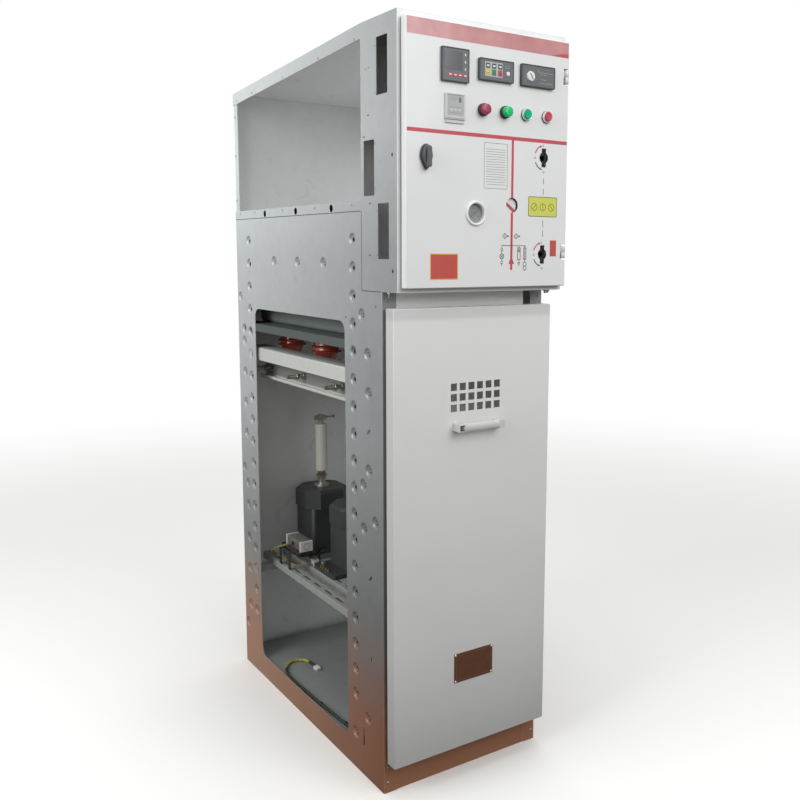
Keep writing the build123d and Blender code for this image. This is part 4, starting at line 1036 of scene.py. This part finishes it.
# Cover plate: thin brown enamelled metal on four bright rivets, plain inside an embossed and
# worn border.
plate_brown = mottled("brown enamel plate", "#5f3e2f", "#704b38", 18, 0.36, 1.5, 0.08, {"Metallic": 0.3})
plate_line = mottled("worn plate border", "#7d6353", "#8b7160", 10, 0.4, 1.5, 0.05, {"Metallic": 0.4})
place = moved(cover_face, 0, 314, 0)
raised = moved(place, 0, 0, 1.1)
border = cut_sheet(raised, 0.25, rounded(0, 0, 55, 34, 2), [rounded(0, 0, 54.2, 33.2, 1.5)])
plate = [(cut_sheet(place, 1.2, rounded(0, 0, 62, 40, 2), [], 0.3), plate_brown), (border, plate_line)]
rivet = [(3, 0), (2.8, 0.8), (1.8, 1.5), (0, 1.8)]
plate += [(turned(moved(raised, x, z, 0), rivet, 16), ring_chrome) for x in (-58, 58) for z in (-36, 36)]
assemble("cover_plate_visual", "front_cover", plate, "plate_brown", "cover_plate")

# Screws in the plinth and the front returns, and nuts on bolts under the box: zinc-plated steel,
# the screws with a cross recess.
base_face = facing(*FRONT, (0, front_y, 0))
under_box = facing((1, 0, 0), (0, -1, 0), (0, 0, box_underside))


def nut(place, radius, thick, edge, look=screw_zinc, sides=6, bore=0):
    """A nut, or a washer where it has many sides, and its material."""
    holes = [circle(0, 0, bore, 14)] if bore else []
    return cut_sheet(place, thick, circle(0, 0, radius, sides), holes, edge), look


fixings = [screw_head(moved(base_face, x, z, 0), 4, 2) for x in (-238, 238) for z in (70, 28)]
fixings += [
    screw_head(moved(base_face, x, z, 0), 3.5, 1.8) for x in (-236, 236) for z in (1283, 1210, 760, 420)
]
for x, y, reach in ((-236, -428, 13), (222, -470, 8), (196, -430, 8), (239, -440, 10)):
    place = moved(under_box, x, -y, 0)
    bolt = [(3, 0), (3, reach), (2.4, reach + 1), (0, reach + 1)]
    fixings += [nut(place, 6.5, 5, 0.6), (turned(place, bolt, 14), screw_zinc)]
assemble("plinth_screws", "cabinet", fixings, "zinc_fasteners")

# Switch enclosure: a welded steel tank in dull grey enamel, on two angles in dark primer along
# its lower edges.
tank_underside = 1172
soften(mottled("grey tank enamel", "#6a7270", "#767e7c", 60, 0.45, 2, 0.08), ["switch_tank"], 0.002, 2)
soften(mottled("dark primer", "#4e5554", "#585f5e", 40, 0.6, 2, 0.08), ["tank_angles"])

# Lower bushings: red-brown glossy resin shrouds, cast with deep sheds and a metal contact below,
# streaked where light runs along their ribs.
bushing_red = mottled("red insulating resin", "#9c3f30", "#b7503e", 25, 0.24, 4, 0.3, {"Coat Weight": 0.5})
phase_middles = (-65, 190, 445)
profile = [(0, 0), (46, 0), (47, -3), (46, -7), (38, -10)]
for n in range(5):
    z = -12 - 15 * n
    profile += [(38, z), (46.5, z - 4), (46, z - 6.5), (37, z - 9)]
profile += [(33, -92), (28, -101), (12, -101), (12, -112), (0, -112)]
bushings = [
    (turned(Matrix.Translation((-100, y, tank_underside)), profile, 40), bushing_red) for y in phase_middles
]
assemble("bushings_visual", "cabinet", bushings, "bushing_red", "phase_bushings")

# Beam studs: threaded rods of zinc-plated steel through the support beam, with a nut, a washer
# and a lock nut on each.
stud_z = 1023
thread_start = 148
thread = [(0, thread_start)]
for n in range(33):
    level = thread_start + 2.4 * n
    thread += [(5.4, level), (6, level + 1.2)]
thread += [(5.4, 234), (0, 234)]
studs = []
for y in phase_middles:
    place = moved(facing(*LEFT), -y, stud_z, 0)
    studs.append((turned(place, thread, 14), screw_zinc))
    for low, thick in ((163, 9), (175.4, 8), (197, 7)):
        studs.append(nut(moved(place, 0, 0, low), 10.4, thick, 0.6, bore=5))
    studs.append(nut(moved(place, 0, 0, 172.2), 13, 2.4, 0.3, sides=24, bore=6))
assemble("beam_studs_visual", "cabinet", studs, "zinc_fasteners", "beam_studs")

# Current transformers: black cast resin with softened mould edges, with four brass secondary
# terminals and two hold-down nuts on the foot of each.
foot_z = 399
resin_black = mottled("black cast resin", "#333636", "#414444", 35, 0.42, 2, 0.12)
terminal_brass = mottled("brass terminal", "#8a7a4e", "#a18f5e", 6, 0.35, 2, 0.08, {"Metallic": 0.85})
soften(resin_black, [f"current_transformer_{number}" for number in (1, 2, 3)], 0.003, 3)
terminals = []
for y in phase_middles:
    for n in range(4):
        place = Matrix.Translation((-116, y - 24 + 16 * n, foot_z))
        terminals.append(nut(place, 5, 5, 0.4, terminal_brass))
        terminals.append((turned(place, [(2.2, 0), (2.2, 11), (0, 11)], 10), terminal_brass))
    terminals += [nut(Matrix.Translation((x, y + 52, foot_z)), 8, 6, 0.5) for x in (-96, 96)]
assemble("transformer_terminals", "cabinet", terminals, "zinc_fasteners")

# Post insulators: a smooth post with a white glaze on a brass stem, with spring washers below
# and a clamp with a cross bolt on top, all screwed together.
post_white = mottled("white glazed post", "#cfcfc8", "#dadad4", 30, 0.22, 5, 0.04, {"Coat Weight": 0.5})
foot = [(0, 600), (26, 600), (26, 606), (25, 608), (14, 608), (12, 612), (12, 628), (0, 628)]
stem = [(0, 634), (8, 634), (8, 656), (0, 656)]
post = [(0, 654), (17, 654), (19.5, 656), (20, 660), (20, 812), (19, 815), (16, 816), (0, 816)]
neck = [(0, 816), (9, 816), (9, 838), (0, 838)]
cross_z = 838
cross_bolt = [(0, -24), (4, -24), (4, 22), (0, 22)]
cross_head = [(0, -49), (6, -49), (6, -46), (2.6, -46), (2.6, -24), (0, -24)]
for number, y in enumerate(phase_middles, 1):
    place = Matrix.Translation((0, y, 0))
    cross = moved(facing(*LEFT), -y, cross_z, 0)
    parts = [
        (turned(place, foot, 32), screw_zinc),
        nut(moved(place, 0, 0, 628), 17, 7, 0.8),
        nut(moved(place, 0, 0, 636), 21, 3, 0.4, sides=32),
        nut(moved(place, 0, 0, 640), 15, 8, 0.8, terminal_brass),
        (turned(place, stem, 20), screw_zinc),
        (turned(place, post, 40), post_white),
        (turned(place, neck, 20), screw_zinc),
        *blocks(
            Matrix(),
            (screw_zinc, 1.5, 2, -15, 15, y - 9, y + 9, 830, 846),
            (screw_zinc, 1, 1, -3, 3, y - 12, y + 12, 838, 849),
        ),
        (turned(cross, cross_bolt, 14), screw_zinc),
        nut(moved(cross, 0, 0, 16), 8, 6, 0.5),
        (turned(cross, cross_head, 14), screw_zinc),
    ]
    assemble(f"post_insulator_{number}_visual", "cabinet", parts, "post_white", f"post_insulator_{number}")

# Cable rails and their crossbars: dull zinc-coated channels folded from sheet, with a row of
# long slots punched in the top of each rail.
rail_top = 385
rail_zinc = mottled("dull zinc rail", "#8f9290", "#a2a5a3", 25, 0.5, 1.6, 0.1, {"Metallic": 0.2})
soften(rail_zinc, ["rail_crossbars"])
rail_face = facing((0, 1, 0), (-1, 0, 0), (0, 0, rail_top - sheet))
rails = []
for x in (-178, -108, 108, 178):
    slots = [rounded(y, -x, 24, 4.5, 4.4, 4) for y in range(-330, 480, 74)]
    rails.append((cut_sheet(rail_face, sheet, square(62.5, -x, 437.5, 17), slots, 0.2), rail_zinc))
    for low in (x - 18, x + 16):
        rails += blocks(Matrix(), (rail_zinc, 0.6, 1, low, low + 2, -375, 500, 363, rail_top - 0.6))
assemble("cable_rails_visual", "cabinet", rails, "galvanised_sheet", "cable_rails")

# Anti-condensation heater: an extruded aluminium body with fins between two moulded end plates,
# on a dark insulating board with black feet.
heater_aluminium = mottled("extruded aluminium", "#9c9c97", "#b2b2ad", 12, 0.4, 1.5, 0.1, {"Metallic": 0.7})
end_white = mottled("white end plate", "#cfcfcb", "#d9d9d5", 8, 0.4, 1.2, 0.06)
board_brown = mottled("brown phenolic board", "#40312a", "#4c3b32", 15, 0.5, 2, 0.1)
fins = [271 + 7.6 * n for n in range(13)]
place = facing(*FRONT, (-144, 265, 458))
heater = [
    *blocks(
        Matrix(),
        (heater_aluminium, 0.6, 1, -161, -127, 272, 368, 446, 470),
        *[(heater_aluminium, 0.6, 1, -165, -123, y, y + 3, 443, 474.5) for y in fins],
        *[(end_white, 1.4, 2, -166, -122, y, y + 6, 441, 475) for y in (265, 369)],
    ),
    (cut_sheet(place, 0.8, circle(0, 0, 11), [circle(0, 0, 9)], 0.2), heater_aluminium),
    *blocks(Matrix(), (board_brown, 0.5, 1, -178, -112, 262, 378, 437.5, 440.8)),
]
assemble("heater_visual", "cabinet", heater, "heater_aluminium", "heater")
soften(collar_black, ["heater_feet"], 0.0003)

# Terminal block: a pale moulded block clipped to the second rail, with two brass clamp screws
# and the mouth that takes the heater's lead.
lead_level = 387.8
clamp = [(3.2, 0), (3.2, 0.4), (1.4, 0.5), (0, 0.1)]
mouth = [(3.4, -0.1), (3.4, 0.6), (2.6, 0.8)]
terminal = [
    *blocks(Matrix(), (end_white, 1, 2, -116, -96, 273, 293, rail_top, 403)),
    *[(turned(Matrix.Translation((-106, y, 402.9)), clamp, 18), terminal_brass) for y in (278, 288)],
    (turned(facing(*LEFT, (-116, 283, lead_level)), mouth, 20), collar_black),
]
assemble("terminal_block", "cabinet", terminal, "connector_white")

# Wiring loom: single wires in a black braided sleeve 9 mm thick, which leaves a nylon gland in
# the plinth and lies along the floor's edge. Its last stretch of wires is bare and ends in a
# white moulded connector.
sleeve_black = mottled("black braided sleeve", "#1c1e1d", "#34372f", 3, 0.5, 1.6, 0.8)
tree, shader = inside(sleeve_black)
here = add(tree, "TexCoord").outputs["Object"]
spot = add(tree, "SeparateXYZ", {0: here})
bare_wires = add(tree, "MapRange", {"From Min": 0.262, "From Max": 0.272, "Value": spot.outputs["Y"]})
stripe = add(tree, "TexNoise", {"Scale": 1000 / 6, "Detail": 1, "Vector": here})
wires = add(tree, "Mix", {"data_type": "RGBA", 0: stripe, 6: linear("#2b2c22"), 7: linear("#d3c848")})
sleeve_tone = add(tree, "Mix", {"data_type": "RGBA", 0: bare_wires, 6: coloured_by(shader), 7: wires})
fit_out(tree, shader, {"Base Color": sleeve_tone})
connector_white = mottled("white nylon connector", "#c9cbc9", "#d8dad8", 6, 0.35, 1.2, 0.05)


def cord_line(name, diameter, look, node, points):
    """An open smooth line through the air, with a round section, points in millimetres."""
    line_data = bpy.data.curves.new(name, "CURVE")
    line_data.dimensions = "3D"
    line_data.bevel_depth = diameter / 2 * MM
    line_data.bevel_resolution = 5
    line_data.resolution_u = 10
    line_data.use_fill_caps = True
    line = line_data.splines.new("NURBS")
    line.points.add(len(points) - 1)
    for point, place in zip(line.points, points):
        point.co = (*(MM * c for c in place), 1)
    line.order_u = 3
    line.use_endpoint_u = True
    line_data.materials.append(look)
    cord = stand(name, line_data)
    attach(cord, "cabinet")
    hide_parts(node)
    return cord


loom_level = 64.8
loom_line = [
    (x, y, loom_level)
    for x, y in (
        (-205, -393), (-205, -325), (-214, -250), (-221, -175), (-226, -100), (-230, -25), (-233, 45),
        (-235, 115), (-236, 180), (-233, 237), (-214, 285), (-184, 307), (-150, 297), (-137, 263),
        (-137, 227),
    )
]
loom = cord_line("wiring_loom_visual", 9, sleeve_black, "wiring_loom", loom_line)
connector = blocks(
    Matrix(),
    (connector_white, 1, 2, -145, -129, 209, 227, 60.3, 69.3),
    (connector_white, 0.6, 1, -144, -130, 201, 210, 61, 68.6),
    (connector_white, 0.4, 1, -140, -134, 212, 222, 69, 70.1),
    *[(collar_black, 0, 1, x - 0.9, x + 0.9, 200.6, 203, 63.6, 66) for x in (-142, -139, -135, -132)],
)
assemble("loom_connector_visual", "cabinet", connector, "connector_white", "loom_connector")

# Heater lead: a thin yellow and black lead with a plastic sheath, which loops out of the
# heater's gland down to the rail and lies along it to the terminal block.
lead_yellow = mottled("yellow and black lead", "#2b2c22", "#b9b04a", 9, 0.4, 1.4, 0.1)
lead_line = [
    (-172, 320, 458), (-196, 320, 458), (-212, 344, 446), (-214, 374, 432), (-208, 402, 414),
    (-190, 418, 400), (-168, 404, 390),
]
lead_line += [
    (x, y, lead_level) for x, y in ((-168, 370), (-170, 335), (-164, 303), (-143, 283), (-116, 283))
]
lead = cord_line("heater_lead_visual", 5, lead_yellow, "heater_lead", lead_line)

# Cable glands: short black nylon collars, screwed into what the loom and the lead come out of;
# the loom's has six flats.
plinth_gland = [(12, 0), (12, 5), (9.4, 6), (9.4, 14), (8.4, 17.9), (4.6, 17.9)]
heater_gland = [(6, -0.2), (6, 3), (4.6, 3.6), (4.2, 5.9), (2.6, 5.9)]
plinth_mouth = facing((1, 0, 0), (0, 0, -1), (-205, -411, loom_level))
glands = [
    (turned(plinth_mouth, plinth_gland, 6), collar_black),
    (turned(facing(*LEFT, (-166, 320, 458)), heater_gland, 20), collar_black),
]
assemble("cable_glands", "cabinet", glands, "instrument_black")

# Cable ties: two black nylon bands pulled tight round the loom, each with its square head on
# top.
ties = []
for x, y, turn in ((-222.6, -150, 3.8), (-230.6, -10, 2.4)):
    place = spun(spun(Matrix.Translation((x, y, loom_level)), turn), 90, "X")
    ties.append((turned(place, [(4.4, -2), (5.1, -2), (5.1, 2), (4.4, 2)], 20), collar_black))
    ties += blocks(place, (collar_black, 0.5, 1, -3, 3, 4.4, 8, -2.6, 2.6))
assemble("cable_ties", "cabinet", ties, "instrument_black")
